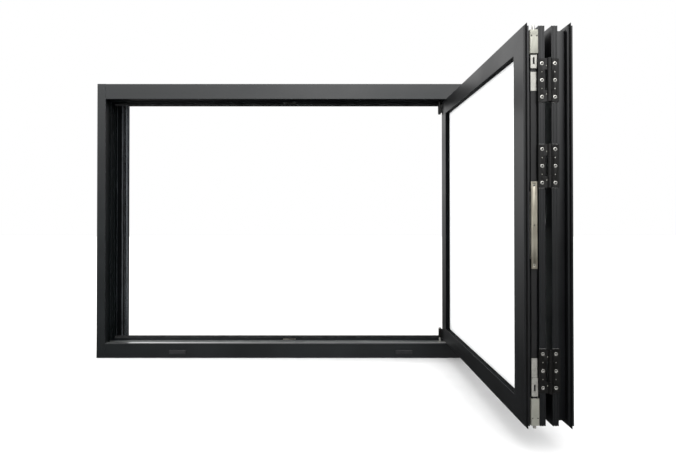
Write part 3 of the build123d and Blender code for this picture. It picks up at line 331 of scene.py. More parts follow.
# ---------------------------------------------------------------- mesh makers
def settle(name, mesh, node, finishes, smooth=35):
    """Link a finished mesh, give it its finishes and let it stand for a CAD node."""
    piece = bpy.data.objects.new(name, mesh)
    bpy.context.scene.collection.objects.link(piece)
    mesh.materials.clear()
    for finish in finishes:
        mesh.materials.append(FINISH[finish])
    if smooth:
        mesh.polygons.foreach_set("use_smooth", np.ones(len(mesh.polygons), bool))
        mesh.set_sharp_from_angle(angle=math.radians(smooth))
    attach(piece, BODY_OF[node])
    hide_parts(node)
    return piece


def merged(node):
    """A bmesh copy of a CAD node with doubles merged."""
    bm = bmesh.new()
    bm.from_mesh(NODES[node].data)
    bmesh.ops.remove_doubles(bm, verts=bm.verts, dist=DOUBLES)
    return bm


def loose_parts(node):
    """Vertices of each separate solid of a node.

    The lowest label passes along every edge until no label changes.
    """
    bm = merged(node)
    points = np.array([v.co[:] for v in bm.verts])
    ends = np.array([[v.index for v in e.verts] for e in bm.edges])
    bm.free()
    label = np.arange(len(points))
    while True:
        low = np.minimum(label[ends[:, 0]], label[ends[:, 1]])
        after = label.copy()
        np.minimum.at(after, ends[:, 0], low)
        np.minimum.at(after, ends[:, 1], low)
        after = after[after]
        if (after == label).all():
            return [points[label == k] for k in np.unique(label)]
        label = after


def eased(node, width, finishes, segments=2, bare=None, arcs=0):
    """Copy a CAD node with every sharp edge rounded to a radius.

    Flat facets are joined, sharp edges get an arc of the given width, and those arcs
    take the finish numbered arcs. bare picks faces by their centres that take the
    last finish, or gives the number of each face's finish.
    """
    bm = merged(node)
    bmesh.ops.dissolve_limit(bm, angle_limit=FLAT, verts=bm.verts, edges=bm.edges)
    mesh = bpy.data.meshes.new(node + "_eased")
    bm.to_mesh(mesh)
    bm.free()
    piece = settle(node + "_piece", mesh, node, finishes)
    if bare is not None:
        centres = np.empty(len(mesh.polygons) * 3)
        mesh.polygons.foreach_get("center", centres)
        chosen = bare(centres.reshape(-1, 3))
        if chosen.dtype == bool:
            chosen = chosen * (len(finishes) - 1)
        mesh.polygons.foreach_set("material_index", chosen.astype(np.int32))
    rounding = piece.modifiers.new("rounded edges", "BEVEL")
    rounding.width = width
    rounding.segments = segments
    rounding.limit_method = "ANGLE"
    rounding.angle_limit = SHARP
    rounding.use_clamp_overlap = True
    rounding.harden_normals = True
    rounding.material = arcs
    return piece


def grid_faces(rows, columns, wrap_rows, wrap_columns):
    """Quads between neighbours of a grid of points, as an index array."""
    i = np.arange(rows if wrap_rows else rows - 1)[:, None]
    j = np.arange(columns if wrap_columns else columns - 1)[None, :]
    a = i * columns + j
    b = i * columns + (j + 1) % columns
    c = (i + 1) % rows * columns + (j + 1) % columns
    d = (i + 1) % rows * columns + j
    return np.stack([a, b, c, d], -1).reshape(-1, 4)


def mesh_of(name, points, faces):
    """A mesh from whole arrays: doubles merged, ends capped, faces turned outwards."""
    mesh = bpy.data.meshes.new(name)
    mesh.from_pydata(points.reshape(-1, 3).tolist(), [], faces.tolist())
    bm = bmesh.new()
    bm.from_mesh(mesh)
    bmesh.ops.remove_doubles(bm, verts=bm.verts, dist=1e-7)
    bmesh.ops.holes_fill(bm, edges=[e for e in bm.edges if e.is_boundary])
    bmesh.ops.recalc_face_normals(bm, faces=bm.faces)
    bm.to_mesh(mesh)
    bm.free()
    return mesh


def placed(points, faces, turns, offsets):
    """Repeat one shape: turns is (n, 3, 3), offsets (n, 3); returns points and faces."""
    copies = np.einsum("nij,pj->npi", turns, points.reshape(-1, 3)) + offsets[:, None, :]
    step = (np.arange(len(turns)) * points.reshape(-1, 3).shape[0])[:, None, None]
    return copies.reshape(-1, 3), (faces[None] + step).reshape(-1, 4)


def lathe(radii, heights, sides=32, hexed=None):
    """Turn a profile about Z: x = r cos a, y = r sin a, z = height.

    Rows marked in hexed are hexagons: r is divided by the cosine of the angle to
    the middle of its nearest flat.
    """
    angle = np.arange(sides) * 2 * math.pi / sides
    radii = np.asarray(radii, float)[:, None]
    heights = np.asarray(heights, float)[:, None]
    spread = np.ones((len(radii), sides))
    if hexed is not None:
        flat = np.cos((angle + math.pi / 6) % (math.pi / 3) - math.pi / 6)
        spread = np.where(np.asarray(hexed)[:, None], 1 / flat, 1.0)
    points = np.stack([radii * spread * np.cos(angle), radii * spread * np.sin(angle),
                       heights + 0 * angle], -1)
    return points, grid_faces(len(radii), sides, False, True)


def facing_turns(directions):
    """Rotation matrices that take +Z to each direction."""
    turns = [Vector((0, 0, 1)).rotation_difference(Vector(d)).to_matrix() for d in directions]
    return np.array(turns)


def screw_sites(node):
    """Head centre, outward direction, head and foot radius and length of each screw.

    The axis is the longest side of the screw's box, and the head is at the end where
    its points lie farthest from that axis.
    """
    sites = []
    for points in loose_parts(node):
        low, high = points.min(0), points.max(0)
        k = int(np.argmax(high - low))
        mid = (low + high) / 2
        others = [i for i in range(3) if i != k]
        away = np.linalg.norm(points[:, others] - mid[others], axis=1)
        top = away[points[:, k] > high[k] - 1e-5].max()
        foot = away[points[:, k] < low[k] + 1e-5].max()
        sign = 1 if top > foot else -1
        direction = np.zeros(3)
        direction[k] = sign
        head = mid.copy()
        head[k] = high[k] if sign > 0 else low[k]
        sites.append((head, direction, max(top, foot), min(top, foot), high[k] - low[k]))
    return sites


def socket_screw(radius, length):
    """Countersunk hex socket screw, its head flush with z = 0 and its shank below.

    Profile from the socket's bottom up its hexagonal wall, over a rounded rim, down
    the cone and the shank with thread ridges to a blunt point.
    """
    shank = radius * 0.5
    across = radius * 0.55
    cone = radius - shank
    ridges = 8
    thread_z = np.linspace(-cone - 0.5 * MM, -length + 0.8 * MM, ridges * 2)
    thread_r = shank - 0.28 * MM * (np.arange(ridges * 2) % 2)
    radii = [0, across * 0.6, across, across, across * 1.06, radius * 0.93, radius, radius,
             shank, *thread_r, shank * 0.5, 0]
    heights = [-radius * 0.6, -radius * 0.6, -radius * 0.5, -0.12 * MM, 0, 0, -0.1 * MM,
               -0.25 * MM, -cone, *thread_z, -length, -length]
    hexed = [False, True, True, True, True] + [False] * (len(radii) - 5)
    return lathe(radii, heights, 24, hexed)


def set_screw(radius, length):
    """Headless screw with a hexagonal socket in each end."""
    across = radius * 0.5
    radii = np.array([0, across, across, radius * 0.86, radius, radius, radius * 0.86, across,
                      across, 0])
    deep = radius * 0.7
    heights = np.array([-deep, -deep, 0, 0, -0.2 * MM, 0.2 * MM - length, -length, -length,
                        deep - length, deep - length])
    hexed = [False, True, True, False, False, False, False, True, True, False]
    return lathe(radii, heights, 24, hexed)


def make_screws(node, finish):
    """Detailed hex socket screws where the CAD has its plain ones, with painted shade in their
    sockets.
    """
    sites = screw_sites(node)
    shapes = []
    for head, direction, radius, foot, length in sites:
        plain = radius - foot < 0.1 * MM
        points, faces = (set_screw if plain else socket_screw)(radius, length)
        shapes.append(placed(points, faces, facing_turns([direction]), head[None]))
    mesh = mesh_of(node + "_detailed", *joined(shapes))
    piece = settle(node + "_piece", mesh, node, [finish, "painted_shade_in_screw_sockets"], smooth=40)
    centres = np.empty(len(mesh.polygons) * 3)
    mesh.polygons.foreach_get("center", centres)
    gap = centres.reshape(-1, 1, 3) - np.array([site[0] for site in sites])[None]
    aim = np.array([site[1] for site in sites])[None]
    down = -(gap * aim).sum(-1)
    off_axis = np.linalg.norm(gap + down[..., None] * aim, axis=-1)
    wide = np.array([site[2] for site in sites])[None]
    # Faces down inside each socket take the painted shade.
    inside = (off_axis < wide * 0.6) & (down > 0.02 * MM) & (down < wide * 0.75)
    mesh.polygons.foreach_set("material_index", inside.any(1).astype(np.int32))
    return piece


def swept_ring(box, profile, is_open=False):
    """Carry a profile round a rectangle in the YZ plane with mitred corners.

    The rectangle is the box's outline. A profile point is (distance inwards, share of
    the box's thickness along X). An open ring has no run at its highest Y.
    """
    low, high = box
    inward, depth = profile.T
    corners = []
    for side_y, side_z in ((1, 0), (0, 0), (0, 1), (1, 1)):
        ring = np.zeros((len(profile), 3))
        ring[:, 0] = low[0] + depth * (high[0] - low[0])
        ring[:, 1] = high[1] - (0 if is_open else inward) if side_y else low[1] + inward
        ring[:, 2] = high[2] - inward if side_z else low[2] + inward
        corners.append(ring)
    return np.array(corners), grid_faces(4, len(profile), not is_open, True)


def joined(shapes):
    """Join (points, faces) shapes into one."""
    faces = []
    count = 0
    for points, quads in shapes:
        faces.append(quads + count)
        count += points.reshape(-1, 3).shape[0]
    return np.concatenate([p.reshape(-1, 3) for p, q in shapes]), np.concatenate(faces)


def part_boxes(node):
    """Lowest and highest corners of each separate solid of a node."""
    return [(p.min(0), p.max(0)) for p in loose_parts(node)]


# ---------------------------------------------------------------- pieces
# In both lists the second coat is a painted highlight for the rounded edges.
FRAME_COAT = ["powder_coat_on_frame_extrusion", "powder_coat_painted_highlight_on_edges"]
# The leaves' third coat is painted shade on the reveals round the glass.
LEAF_COAT = ["powder_coat_on_leaf_extrusion", "powder_coat_painted_highlight_on_edges",
             "powder_coat_painted_shade_in_recesses", "extruded_aluminium_sawn_bare"]


def make_frame():
    """Frame extrusions with eased edges, the sill track and the frame's own screws."""
    edge = bpy.context.scene.window_look.edge_radius
    ridge_highlight = "powder_coat_painted_highlight_on_ridges"
    eased("head_rail", edge, FRAME_COAT, arcs=1)
    # The jambs' ridges take a brighter painted highlight.
    for node in ("left_jamb", "right_jamb"):
        eased(node, edge, [FRAME_COAT[0], ridge_highlight], arcs=1)
    # The inner stops are painted shade all over, with painted highlights on their ridges.
    eased("inner_stops", edge, ["powder_coat_painted_shade_in_recesses", ridge_highlight], arcs=1)
    front, rear = (corner[1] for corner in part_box("sill_rail"))
    eased("sill_rail", edge, [*FRAME_COAT, "powder_coat_scuffed_on_sill"],
          arcs=1,
          bare=lambda c: (c[:, 1] > front + SKIN) & (c[:, 1] < rear - SKIN))
    eased("sill_track", 0.3 * MM, ["rolled_stainless_sill_track"])
    make_screws("frame_joint_screws", "zinc_plated_pressed_steel")


def make_leaves():
    """Leaf stiles and rails with eased edges; hinge notches show sawn metal."""
    edge = bpy.context.scene.window_look.edge_radius
    for leaf in LEAVES:
        floor_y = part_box(leaf + "_fold_stile")[0][1] + NOTCH
        plates = "fold_hinge_outer_plates" if leaf == "outer_leaf" else "fold_hinge_lead_plates"
        x0, x1 = (corner[0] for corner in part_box(plates))
        notch = np.array([(x0 - 0.5 * MM, x1 + 0.5 * MM),
                          (floor_y - 0.1 * MM, floor_y + 0.1 * MM)])
        for member, (axis, side) in MEMBERS.items():
            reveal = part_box(leaf + member)[side][axis]
            sawn = member == "_fold_stile"

            def number(c):
                """Finish 3 in the hinge notches, 2 (painted shade) on the reveal round the glass,
                else 0.
                """
                inside = ((c[:, :2] > notch[:, 0]) & (c[:, :2] < notch[:, 1])).all(1) & sawn
                return np.where(inside, 3, np.where(abs(c[:, axis] - reveal) < FLUSH, 2, 0))

            eased(leaf + member, edge, LEAF_COAT, bare=number, arcs=1)


def make_glazing():
    """Gaskets, beads, spacer bars and panes of both leaves."""
    lip = np.array([(0, 0), (0, 1), (5.2, 1), (7.2, 0.86), (8.4, 0.55), (8.2, 0.2), (7, 0)])
    lip[:, 0] *= MM
    flap = np.array([(0, 0.3), (0, 0.55), (2, 0.8), (4.6, 1), (6, 1), (6, 0), (4.6, 0),
                     (1.6, 0.12)])
    flap[:, 0] *= MM
    bar = np.array([(0, 0), (0, 1), (8.6, 1), (9.2, 0.93), (9.2, 0.62), (9.0, 0.58), (9.0, 0.42),
                    (9.2, 0.38), (9.2, 0.07), (8.6, 0)])
    bar[:, 0] *= MM
    for leaf in LEAVES:
        node = leaf + "_glazing_gaskets"
        rings = []
        for box in part_boxes(node):
            proud = box[1][2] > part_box(leaf + "_fold_stile")[1][2]
            rings.append(swept_ring(box, flap, is_open=True) if proud else swept_ring(box, lip))
        mesh = mesh_of(node + "_swept", *joined(rings))
        settle(node + "_piece", mesh, node, ["extruded_epdm_rubber"], 50)
        node = leaf + "_glass_spacer"
        rings = [swept_ring(box, bar) for box in part_boxes(node)]
        mesh = mesh_of(node + "_swept", *joined(rings))
        settle(node + "_piece", mesh, node, ["black_warm_edge_spacer"], 30)
        eased(leaf + "_glazing_beads", 0.4 * MM, LEAF_COAT[:2], arcs=1)
        node = leaf + "_glass_panes"
        coated_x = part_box(node)[0][0] if leaf == "lead_leaf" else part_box(node)[1][0]
        panes = eased(node, 0.5 * MM, ["satin_coated_float_glass", "clear_float_glass"],
                      1, arcs=1, bare=lambda c, x=coated_x: np.abs(c[:, 0] - x) > FLUSH)
        panes.data.shade_flat()


def make_hinges():
    """Hinge plates with rounded edges, domed pins and hex socket screws."""
    for node in ("jamb_hinge_fixed_plates", "jamb_hinge_leaf_plates", "fold_hinge_outer_plates",
                 "fold_hinge_lead_plates", "pivot_brackets"):
        eased(node, 0.5 * MM, ["black_coated_hinge_casting"], 3)
    for node in ("jamb_hinge_pins", "fold_hinge_pins"):
        shapes = []
        for low, high in part_boxes(node):
            radius = (high[0] - low[0]) / 2
            tall = high[2] - low[2]
            dome = radius * 0.4
            quarter = np.linspace(0, math.pi / 2, 5)
            drop = dome * (1 - np.sin(quarter))
            round_r = radius * np.cos(quarter)
            heights = np.concatenate([drop[::-1], tall - drop])
            radii = np.concatenate([round_r[::-1], round_r])
            points, faces = lathe(radii, heights, 24)
            centre = (low + high) / 2
            centre[2] = low[2]
            shapes.append(placed(points, faces, np.eye(3)[None], centre[None]))
        mesh = mesh_of(node + "_turned", *joined(shapes))
        settle(node + "_piece", mesh, node, ["turned_stainless_screws"])
    make_screws("frame_hardware_screws", "turned_stainless_screws")
    make_screws("outer_leaf_hinge_screws", "turned_stainless_screws")
    make_screws("lead_leaf_hinge_screws", "turned_stainless_screws")


def make_lock():
    """Lock faceplate, bolt housings, drive rods, bolts and strikes.

    Only the rods' end plates are bright, and the bolts are dark inside the leaf.
    """
    eased("lock_faceplate", 0.4 * MM, ["brushed_stainless_steel_strip"])
    eased("bolt_housings", 0.9 * MM, ["satin_plated_zinc_casting"], 3)
    rod_finishes = ["zinc_plated_pressed_steel", "black_phosphated_steel_strip"]
    for node in ("upper_drive_rod", "lower_drive_rod"):
        plate_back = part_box(node)[0][1] + ROD_PLATE_T
        eased(node, 0.3 * MM, rod_finishes, arcs=-1,
              bare=lambda c, y=plate_back: c[:, 1] > y)
    bolt_finishes = ["turned_stainless_screws", "black_phosphated_steel_strip"]
    lower, upper = sorted(part_boxes("bolt_housings"), key=lambda box: box[0][2])
    eased("upper_shoot_bolt", 0.4 * MM, bolt_finishes, arcs=-1,
          bare=lambda c: c[:, 2] < upper[0][2] + SKIN)
    eased("lower_shoot_bolt", 0.4 * MM, bolt_finishes, arcs=-1,
          bare=lambda c: c[:, 2] > lower[1][2] - SKIN)
    eased("strike_plates", 0.4 * MM, ["brushed_stainless_steel_strip"])
    eased("lock_gearbox", 0.5 * MM, ["zinc_plated_pressed_steel"])
    make_screws("lead_leaf_small_screws", "satin_plated_zinc_casting")


def lever_surface():
    """Handle lever: superellipse sections carried up a centre line.

    At height z the section is |x/w|^n + |y/h|^n = 1 with n = 3. Its half width w
    narrows from the boss to the grip, h does so less, and both ends close on a
    quarter ellipse.
    """
    low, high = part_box("handle_lever")
    mid_y = (low[1] + high[1]) / 2
    base = low[2]
    top = high[2]
    boss = (high[1] - low[1]) / 2
    t = np.linspace(0, 1, 60)[:, None]
    z = base + t * (top - base)
    close = 12 * MM / (top - base)
    end = np.sqrt(np.clip(1 - np.clip((close - t) / close, 0, 1) ** 2, 0, 1))
    end *= np.sqrt(np.clip(1 - np.clip((t - 1 + close) / close, 0, 1) ** 2, 0, 1))
    flare = np.exp(-((t - 0.1) / 0.12) ** 2)
    grip = boss * (0.72 + 0.28 * flare + 0.06 * np.sin(t * math.pi))
    a = np.arange(40) * 2 * math.pi / 40
    across = np.sign(np.cos(a)) * np.abs(np.cos(a)) ** (2 / 3)
    out = np.sign(np.sin(a)) * np.abs(np.sin(a)) ** (2 / 3)
    x0, x1 = low[0] + 1.0 * MM, high[0]
    thick = (x1 - x0) / 2 * (0.82 + 0.18 * flare)
    x = (x0 + x1) / 2 + thick * end * out
    y = mid_y + grip * end * across
    return np.stack([x, y, z + 0 * x], -1)


def make_handle():
    """Lever, rose and spindle."""
    grid = lever_surface()
    shape = (grid, grid_faces(grid.shape[0], grid.shape[1], False, True))
    low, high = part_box("handle_lever")
    radius = (high[1] - low[1]) / 2 * 0.96
    centre = np.array([[low[0], (low[1] + high[1]) / 2, low[2] + (high[1] - low[1]) / 2]])
    deep = high[0] - low[0]
    points, faces = lathe([0, radius - 0.5 * MM, radius, radius, radius - 0.8 * MM, 0],
                          [0, 0, 0.5 * MM, deep - 1.2 * MM, deep - 0.4 * MM, deep - 0.4 * MM], 40)
    boss = placed(points, faces, facing_turns([(1, 0, 0)]), centre)
    mesh = mesh_of("lever_lofted", *joined([shape, boss]))
    settle("handle_lever_piece", mesh, "handle_lever", ["black_enamelled_handle_casting"],
           50)
    eased("handle_rose", 0.8 * MM, ["black_enamelled_handle_casting"], 3)
    eased("handle_spindle", 0.3 * MM, ["zinc_plated_pressed_steel"])


def make_track_gear():
    """Carriage, wheels, guide and roller."""
    eased("carriage_body", 0.6 * MM, ["injected_black_nylon"], 2)
    eased("carriage_stem", 0.3 * MM, ["black_phosphated_steel_strip"])
    eased("guide_block", 0.4 * MM, ["zinc_plated_pressed_steel"])
    for node in ("carriage_near_wheels", "carriage_far_wheels"):
        shapes = []
        for points in loose_parts(node):
            low, high = points.min(0), points.max(0)
            radius = (high[0] - low[0]) / 2
            wide = high[1] - low[1]
            centre = ((low + high) / 2)[None]
            if wide > radius * 2:
                radii = [0, radius - 0.4 * MM, radius, radius, radius - 0.4 * MM, 0]
                heights = np.array([-0.5, -0.5, -0.485, 0.485, 0.5, 0.5]) * wide
            else:
                radii = np.array([0.32, 0.55, 0.57, 0.66, 0.70, 0.90, 1.0, 0.985, 0.985, 1.0, 0.90,
                                  0.70, 0.66, 0.57, 0.55, 0.32, 0.32]) * radius
                heights = np.array([-0.46, -0.46, -0.34, -0.34, -0.5, -0.5, -0.36, -0.2, 0.2, 0.36,
                                    0.5, 0.5, 0.34, 0.34, 0.46, 0.46, -0.46]) * wide
            disc, faces = lathe(radii, heights, 40)
            shapes.append(placed(disc, faces, facing_turns([(0, 1, 0)]), centre))
        mesh = mesh_of(node + "_turned", *joined(shapes))
        settle(node + "_piece", mesh, node, ["white_acetal_rollers"])
    eased("guide_roller", 0.6 * MM, ["white_acetal_rollers"], 2)


def make_seals():
    """Bulb seals, brush seals and drain covers."""
    eased("stop_gaskets", 0.2 * MM, ["extruded_epdm_rubber"], 1)
    eased("drain_covers", 1.2 * MM, ["injected_black_nylon"], 3)
    shapes = []
    for low, high in part_boxes("weather_brushes"):
        shapes += brush_shapes(low, high)
    points, faces = joined(shapes)
    mesh = bpy.data.meshes.new("brush_tufts")
    mesh.from_pydata(points.tolist(), [], faces.tolist())
    settle("weather_brushes_piece", mesh, "weather_brushes", ["polypropylene_brush_pile"],
           30)


def brush_shapes(low, high):
    """Tufts and backing strip of one brush seal.

    Each tuft is a three-sided spike. Its foot is set off at random along the strip, its
    head leans at random and it is up to an eighth short. One spike stands for a bundle
    of fibres, which are too fine to draw.
    """
    up = low[2] > (CAD_BOX[0][2] + CAD_BOX[1][2]) / 2
    root, tip = (high[2], low[2]) if up else (low[2], high[2])
    base = root + (tip - root) * 0.35
    pitch = bpy.context.scene.window_look.tuft_pitch
    x = np.arange(low[0] + pitch, high[0] - pitch, pitch)
    rows = np.linspace(low[1] + 2.0 * MM, high[1] - 2.0 * MM, 4)
    xx, yy = np.meshgrid(x, rows)
    rng = np.random.default_rng(BRUSH_SEEDS[0] if up else BRUSH_SEEDS[1])
    xx = xx.ravel() + rng.uniform(-0.3, 0.3, xx.size) * pitch
    yy = yy.ravel()
    lean = rng.uniform(-0.5, 0.5, (xx.size, 2)) * MM
    reach = tip - (tip - root) * rng.uniform(0, 0.12, xx.size)
    a = np.array([0, 2, 4]) * math.pi / 3
    thick = pitch * 0.42
    foot = np.stack([xx[:, None] + thick * np.cos(a), yy[:, None] + thick * np.sin(a),
                     np.full((xx.size, 3), base)], -1)
    head = np.stack([(xx + lean[:, 0])[:, None] + thick * 0.4 * np.cos(a),
                     (yy + lean[:, 1])[:, None] + thick * 0.4 * np.sin(a),
                     np.repeat(reach[:, None], 3, 1)], -1)
    points = np.stack([foot, head], 1).reshape(-1, 3)
    one = np.array([(0, 1, 4, 3), (1, 2, 5, 4), (2, 0, 3, 5)])
    faces = (one[None] + (np.arange(xx.size) * 6)[:, None, None]).reshape(-1, 4)
    return [(points, faces), swept_strip(low, high, root, base)]


def swept_strip(low, high, root, base):
    """Backing strip of a brush seal: a rectangle carried along X."""
    profile = np.array([(low[1], root), (high[1], root), (high[1], base), (low[1], base)])
    ends = np.array([low[0], high[0]])
    points = np.array([[(x, y, z) for y, z in profile] for x in ends])
    faces = grid_faces(2, 4, False, True)
    caps = np.array([(3, 2, 1, 0), (4, 5, 6, 7)])
    return points.reshape(-1, 3), np.concatenate([faces, caps])


def make_kept():
    """Finishes of the CAD nodes whose shapes stay."""
    kept = {
        "head_track_strips": "rolled_stainless_track_strip",
        "outer_leaf_setting_blocks": "extruded_pvc_grey",
        "lead_leaf_setting_blocks": "extruded_pvc_grey",
        "outer_leaf_corner_cleats": "extruded_aluminium_sawn_bare",
        "lead_leaf_corner_cleats": "extruded_aluminium_sawn_bare",
    }
    for node, finish in kept.items():
        NODES[node].data.materials.clear()
        NODES[node].data.materials.append(FINISH[finish])


# ---------------------------------------------------------------- stage
REFLECTED = {
    # The room as the finishes mirror it: axis, then pairs of direction from -1 to 1 and level.
    "front_height": ("Z", ((-1, 0.05), (-0.15, 0.06), (0, 0.1), (0.12, 0.4), (0.3, 1), (1, 1))),
    "front_side": ("X", ((-1, 0.3), (-0.45, 0.36), (-0.07, 0.85), (0.15, 1), (0.35, 0.5),
                         (0.6, 0.2), (1, 0.15))),
    "rear_height": ("Z", ((-1, 0.02), (-0.25, 0.03), (-0.1, 0.2), (0, 0.42), (0.25, 0.85),
                          (1, 1))),
    "rear_side": ("X", ((-1, 0.9), (-0.35, 1), (-0.14, 0.12), (0.12, 0.1), (0.5, 0.4), (1, 0.5))),
}
FRONT_LEVEL = 6.5    # brightest mirrored level on the camera's side of the window
REAR_LEVEL = 2.4     # the same beyond it
ROOM_LEVEL = 1.5     # even light on dull surfaces
# Metres right of the window's middle, out from its face and up, tilt in degrees, lens in
# mm and shift as a share of the picture's width.
CAMERA = {"right": 0.131, "back": 1.6736, "height": 0.5546, "tilt": 90.40, "lens": 23.05,
          "shift": (0.0197, -0.0395)}
FLOOR_REACH = 9.0
# Name, place, target, size and power of each softbox.
SOFTBOXES = (("top_softbox", (0.9, -2.6, 3.0), (0.2, 0.0, 0.7), 2.4, 20),
             ("left_softbox", (-3.2, -1.2, 2.2), (0.3, -0.2, 0.6), 2.0, 30))


def make_world():
    """White surroundings that light the floor evenly.

    Reflections see a room with a bright upper front and a dark lower part.
    """
    world = bpy.data.worlds.new("pale_studio")
    world.use_nodes = True
    bpy.context.scene.world = world
    tree = world.node_tree
    tree.nodes.clear()
    look = add(tree, "TexCoord").outputs["Generated"]
    part = add(tree, "SeparateXYZ", links={"Vector": look})
    level = {}
    for key, (axis, stops) in REFLECTED.items():
        share = add(tree, "MapRange", {"From Min": -1.0}, {"Value": part.outputs[axis]})
        ramp = add(tree, "ValToRGB", links={"Fac": share.outputs["Result"]})
        points = ramp.color_ramp.elements
        for at, grey in stops[1:-1]:
            points.new((at + 1) / 2).color = (grey, grey, grey, 1)
        points[0].color = (stops[0][1],) * 3 + (1,)
        points[-1].color = (stops[-1][1],) * 3 + (1,)
        level[key] = ramp.outputs["Color"]
    sides = []
    for side, top in (("front", FRONT_LEVEL), ("rear", REAR_LEVEL)):
        both = add(tree, "Math", links={0: level[side + "_height"], 1: level[side + "_side"]},
                   operation="MULTIPLY")
        sides.append(add(tree, "Math", {1: top}, {0: both.outputs[0]}, operation="MULTIPLY"))
    behind = add(tree, "MapRange", {"From Min": -0.15, "From Max": 0.25},
                 {"Value": part.outputs["Y"]})
    room = add(tree, "Mix", links={"Factor": behind.outputs["Result"], "A": sides[0].outputs[0],
               "B": sides[1].outputs[0]}, data_type="FLOAT")
    white = {"Color": (1, 1, 1, 1)}
    seen = add(tree, "Background", {**white, "Strength": 1.0})
    even = add(tree, "Background", {**white, "Strength": ROOM_LEVEL})
    mirrored = add(tree, "Background", white, {"Strength": room.outputs["Result"]})
    path = add(tree, "LightPath")
    lit = add(tree, "MixShader", links={"Fac": path.outputs["Is Diffuse Ray"],
              1: seen.outputs["Background"], 2: even.outputs["Background"]})
    mixed = add(tree, "MixShader", links={"Fac": path.outputs["Is Glossy Ray"],
                1: lit.outputs["Shader"], 2: mirrored.outputs["Background"]})
    add(tree, "OutputWorld", links={"Surface": mixed.outputs["Shader"]})


def make_stage():
    """Pale floor, soft lights and the camera."""
    scene = bpy.context.scene
    scene.view_settings.view_transform = "Standard"
    scene.view_settings.look = "None"
    make_world()
    tree, surface, place = start("matt_white_floor", {"Roughness": 0.9})
    grain = add(tree, "TexNoise", {"Scale": 1 / (60 * MM)}, {"Vector": place})
    vary(tree, surface, grain.outputs["Fac"], linear("#f6f6f6"), linear("#f9f9f9"), (0.85, 0.95))
    ground = CAD_BOX[0][2]
    mesh = bpy.data.meshes.new("floor")
    corners = [(x * FLOOR_REACH, y * FLOOR_REACH, ground)
               for x, y in ((-1, -1), (1, -1), (1, 1), (-1, 1))]
    mesh.from_pydata(corners, [], [(0, 1, 2, 3)])
    mesh.materials.append(FINISH["matt_white_floor"])
    floor = bpy.data.objects.new("floor", mesh)
    scene.collection.objects.link(floor)
    floor.visible_glossy = False    # the finishes mirror the dark lower room instead
    for softbox in SOFTBOXES:
        soft_light(*softbox)
    make_camera()


def soft_light(name, place, target, size, power):
    """Square area light aimed at a point."""
    lamp = bpy.data.lights.new(name, "AREA")
    lamp.size = size
    lamp.energy = power
    light = bpy.data.objects.new(name, lamp)
    bpy.context.scene.collection.objects.link(light)
    light.location = place
    aim = Vector(target) - Vector(place)
    light.rotation_euler = aim.to_track_quat("-Z", "Y").to_euler()
    light.visible_camera = False


def make_camera():
    """Camera in front of the frame, a little right of its middle and half way up it."""
    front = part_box("head_rail")[0][1]
    view = bpy.data.cameras.new("camera")
    view.sensor_width = 36.0
    view.lens = CAMERA["lens"]
    view.shift_x, view.shift_y = CAMERA["shift"]
    camera = bpy.data.objects.new("camera", view)
    bpy.context.scene.collection.objects.link(camera)
    camera.location = (CAMERA["right"], front - CAMERA["back"], CAMERA["height"])
    camera.rotation_euler = (math.radians(CAMERA["tilt"]), 0.0, 0.0)
    bpy.context.scene.camera = camera


# ---------------------------------------------------------------- add-on
class WindowLook(bpy.types.PropertyGroup):
    """Sizes and colours a user would change."""

    frame_colour: bpy.props.FloatVectorProperty(
        name="Frame colour", description="Powder coat of the outer frame",
        default=linear("#070c0e")[:3], subtype="COLOR", min=0, max=1)
    leaf_colour: bpy.props.FloatVectorProperty(
        name="Leaf colour", description="Powder coat of the leaves",
        default=linear("#090b0d")[:3], subtype="COLOR", min=0, max=1)
    # Painted highlight: the lighter coat on the rounded edges of the extrusions.
    edge_highlight_colour: bpy.props.FloatVectorProperty(
        name="Edge colour", description="Powder coat where it thins over an edge",
        default=linear("#212325")[:3], subtype="COLOR", min=0, max=1)
    edge_radius: bpy.props.FloatProperty(
        name="Edge radius", description="Rounding of the extrusions' edges",
        default=0.5 * MM, min=0.1 * MM, max=1 * MM, unit="LENGTH")
    tuft_pitch: bpy.props.FloatProperty(
        name="Tuft pitch", description="Distance between the tufts of the brush seals",
        default=1.6 * MM, min=1 * MM, max=5 * MM, unit="LENGTH")


class WINDOW_OT_finishes(bpy.types.Operator):
    """Make every material."""

    bl_idname = "folding_window.finishes"
    bl_label = "Finishes"

    def execute(self, context):
        make_finishes()
        return {"FINISHED"}


class WINDOW_OT_frame(bpy.types.Operator):
    """Frame extrusions with eased edges."""

    bl_idname = "folding_window.frame"
    bl_label = "Outer frame"

    def execute(self, context):
        make_frame()
        return {"FINISHED"}


class WINDOW_OT_leaves(bpy.types.Operator):
    """Stiles and rails of both leaves."""

    bl_idname = "folding_window.leaves"
    bl_label = "Leaves"

    def execute(self, context):
        make_leaves()
        return {"FINISHED"}


class WINDOW_OT_glazing(bpy.types.Operator):
    """Panes, gaskets, spacers and beads."""

    bl_idname = "folding_window.glazing"
    bl_label = "Glazing"

    def execute(self, context):
        make_glazing()
        return {"FINISHED"}


class WINDOW_OT_hinges(bpy.types.Operator):
    """Hinge plates, pins and screws."""

    bl_idname = "folding_window.hinges"
    bl_label = "Hinges"

    def execute(self, context):
        make_hinges()
        return {"FINISHED"}


class WINDOW_OT_lock(bpy.types.Operator):
    """Faceplate, housings, rods and bolts."""

    bl_idname = "folding_window.lock"
    bl_label = "Lock gear"

    def execute(self, context):
        make_lock()
        return {"FINISHED"}


class WINDOW_OT_handle(bpy.types.Operator):
    """Lever, rose and spindle."""

    bl_idname = "folding_window.handle"
    bl_label = "Handle"

    def execute(self, context):
        make_handle()
        return {"FINISHED"}


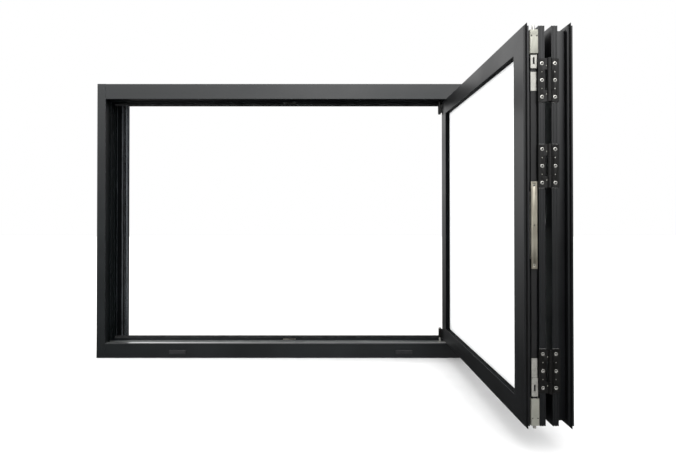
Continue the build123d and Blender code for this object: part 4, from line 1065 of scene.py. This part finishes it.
class WINDOW_OT_track_gear(bpy.types.Operator):
    """Carriage, wheels, guide and roller."""

    bl_idname = "folding_window.track_gear"
    bl_label = "Track gear"

    def execute(self, context):
        make_track_gear()
        return {"FINISHED"}


class WINDOW_OT_seals(bpy.types.Operator):
    """Bulb seals, brushes and drain covers."""

    bl_idname = "folding_window.seals"
    bl_label = "Seals"

    def execute(self, context):
        make_seals()
        return {"FINISHED"}


class WINDOW_OT_kept(bpy.types.Operator):
    """Finishes of the parts kept from the CAD."""

    bl_idname = "folding_window.kept"
    bl_label = "Kept parts"

    def execute(self, context):
        make_kept()
        return {"FINISHED"}


class WINDOW_OT_stage(bpy.types.Operator):
    """Floor, lights and camera."""

    bl_idname = "folding_window.stage"
    bl_label = "Stage"

    def execute(self, context):
        make_stage()
        return {"FINISHED"}


# In the order in which they build the picture.
OPERATORS = [WINDOW_OT_finishes, WINDOW_OT_frame, WINDOW_OT_leaves, WINDOW_OT_glazing,
             WINDOW_OT_hinges, WINDOW_OT_lock, WINDOW_OT_handle, WINDOW_OT_track_gear,
             WINDOW_OT_seals, WINDOW_OT_kept, WINDOW_OT_stage]


class WINDOW_PT_panel(bpy.types.Panel):
    """Buttons for every piece."""

    bl_label = "Folding window"
    bl_space_type = "VIEW_3D"
    bl_region_type = "UI"
    bl_category = "Window"

    def draw(self, context):
        for key in ("frame_colour", "leaf_colour", "edge_highlight_colour", "edge_radius", "tuft_pitch"):
            self.layout.prop(context.scene.window_look, key)
        for kind in OPERATORS:
            self.layout.operator(kind.bl_idname)


CLASSES = [WindowLook, *OPERATORS, WINDOW_PT_panel]


def register():
    """Add the operators, the panel and the scene's settings."""
    for kind in CLASSES:
        bpy.utils.register_class(kind)
    bpy.types.Scene.window_look = bpy.props.PointerProperty(type=WindowLook)


def unregister():
    """Take them away again."""
    del bpy.types.Scene.window_look
    for kind in reversed(CLASSES):
        bpy.utils.unregister_class(kind)


def main():
    """Build the whole picture."""
    register()
    for kind in OPERATORS:
        getattr(bpy.ops.folding_window, kind.bl_idname.split(".")[1])()
    bpy.context.view_layer.update()


if __name__ == "__main__":
    main()
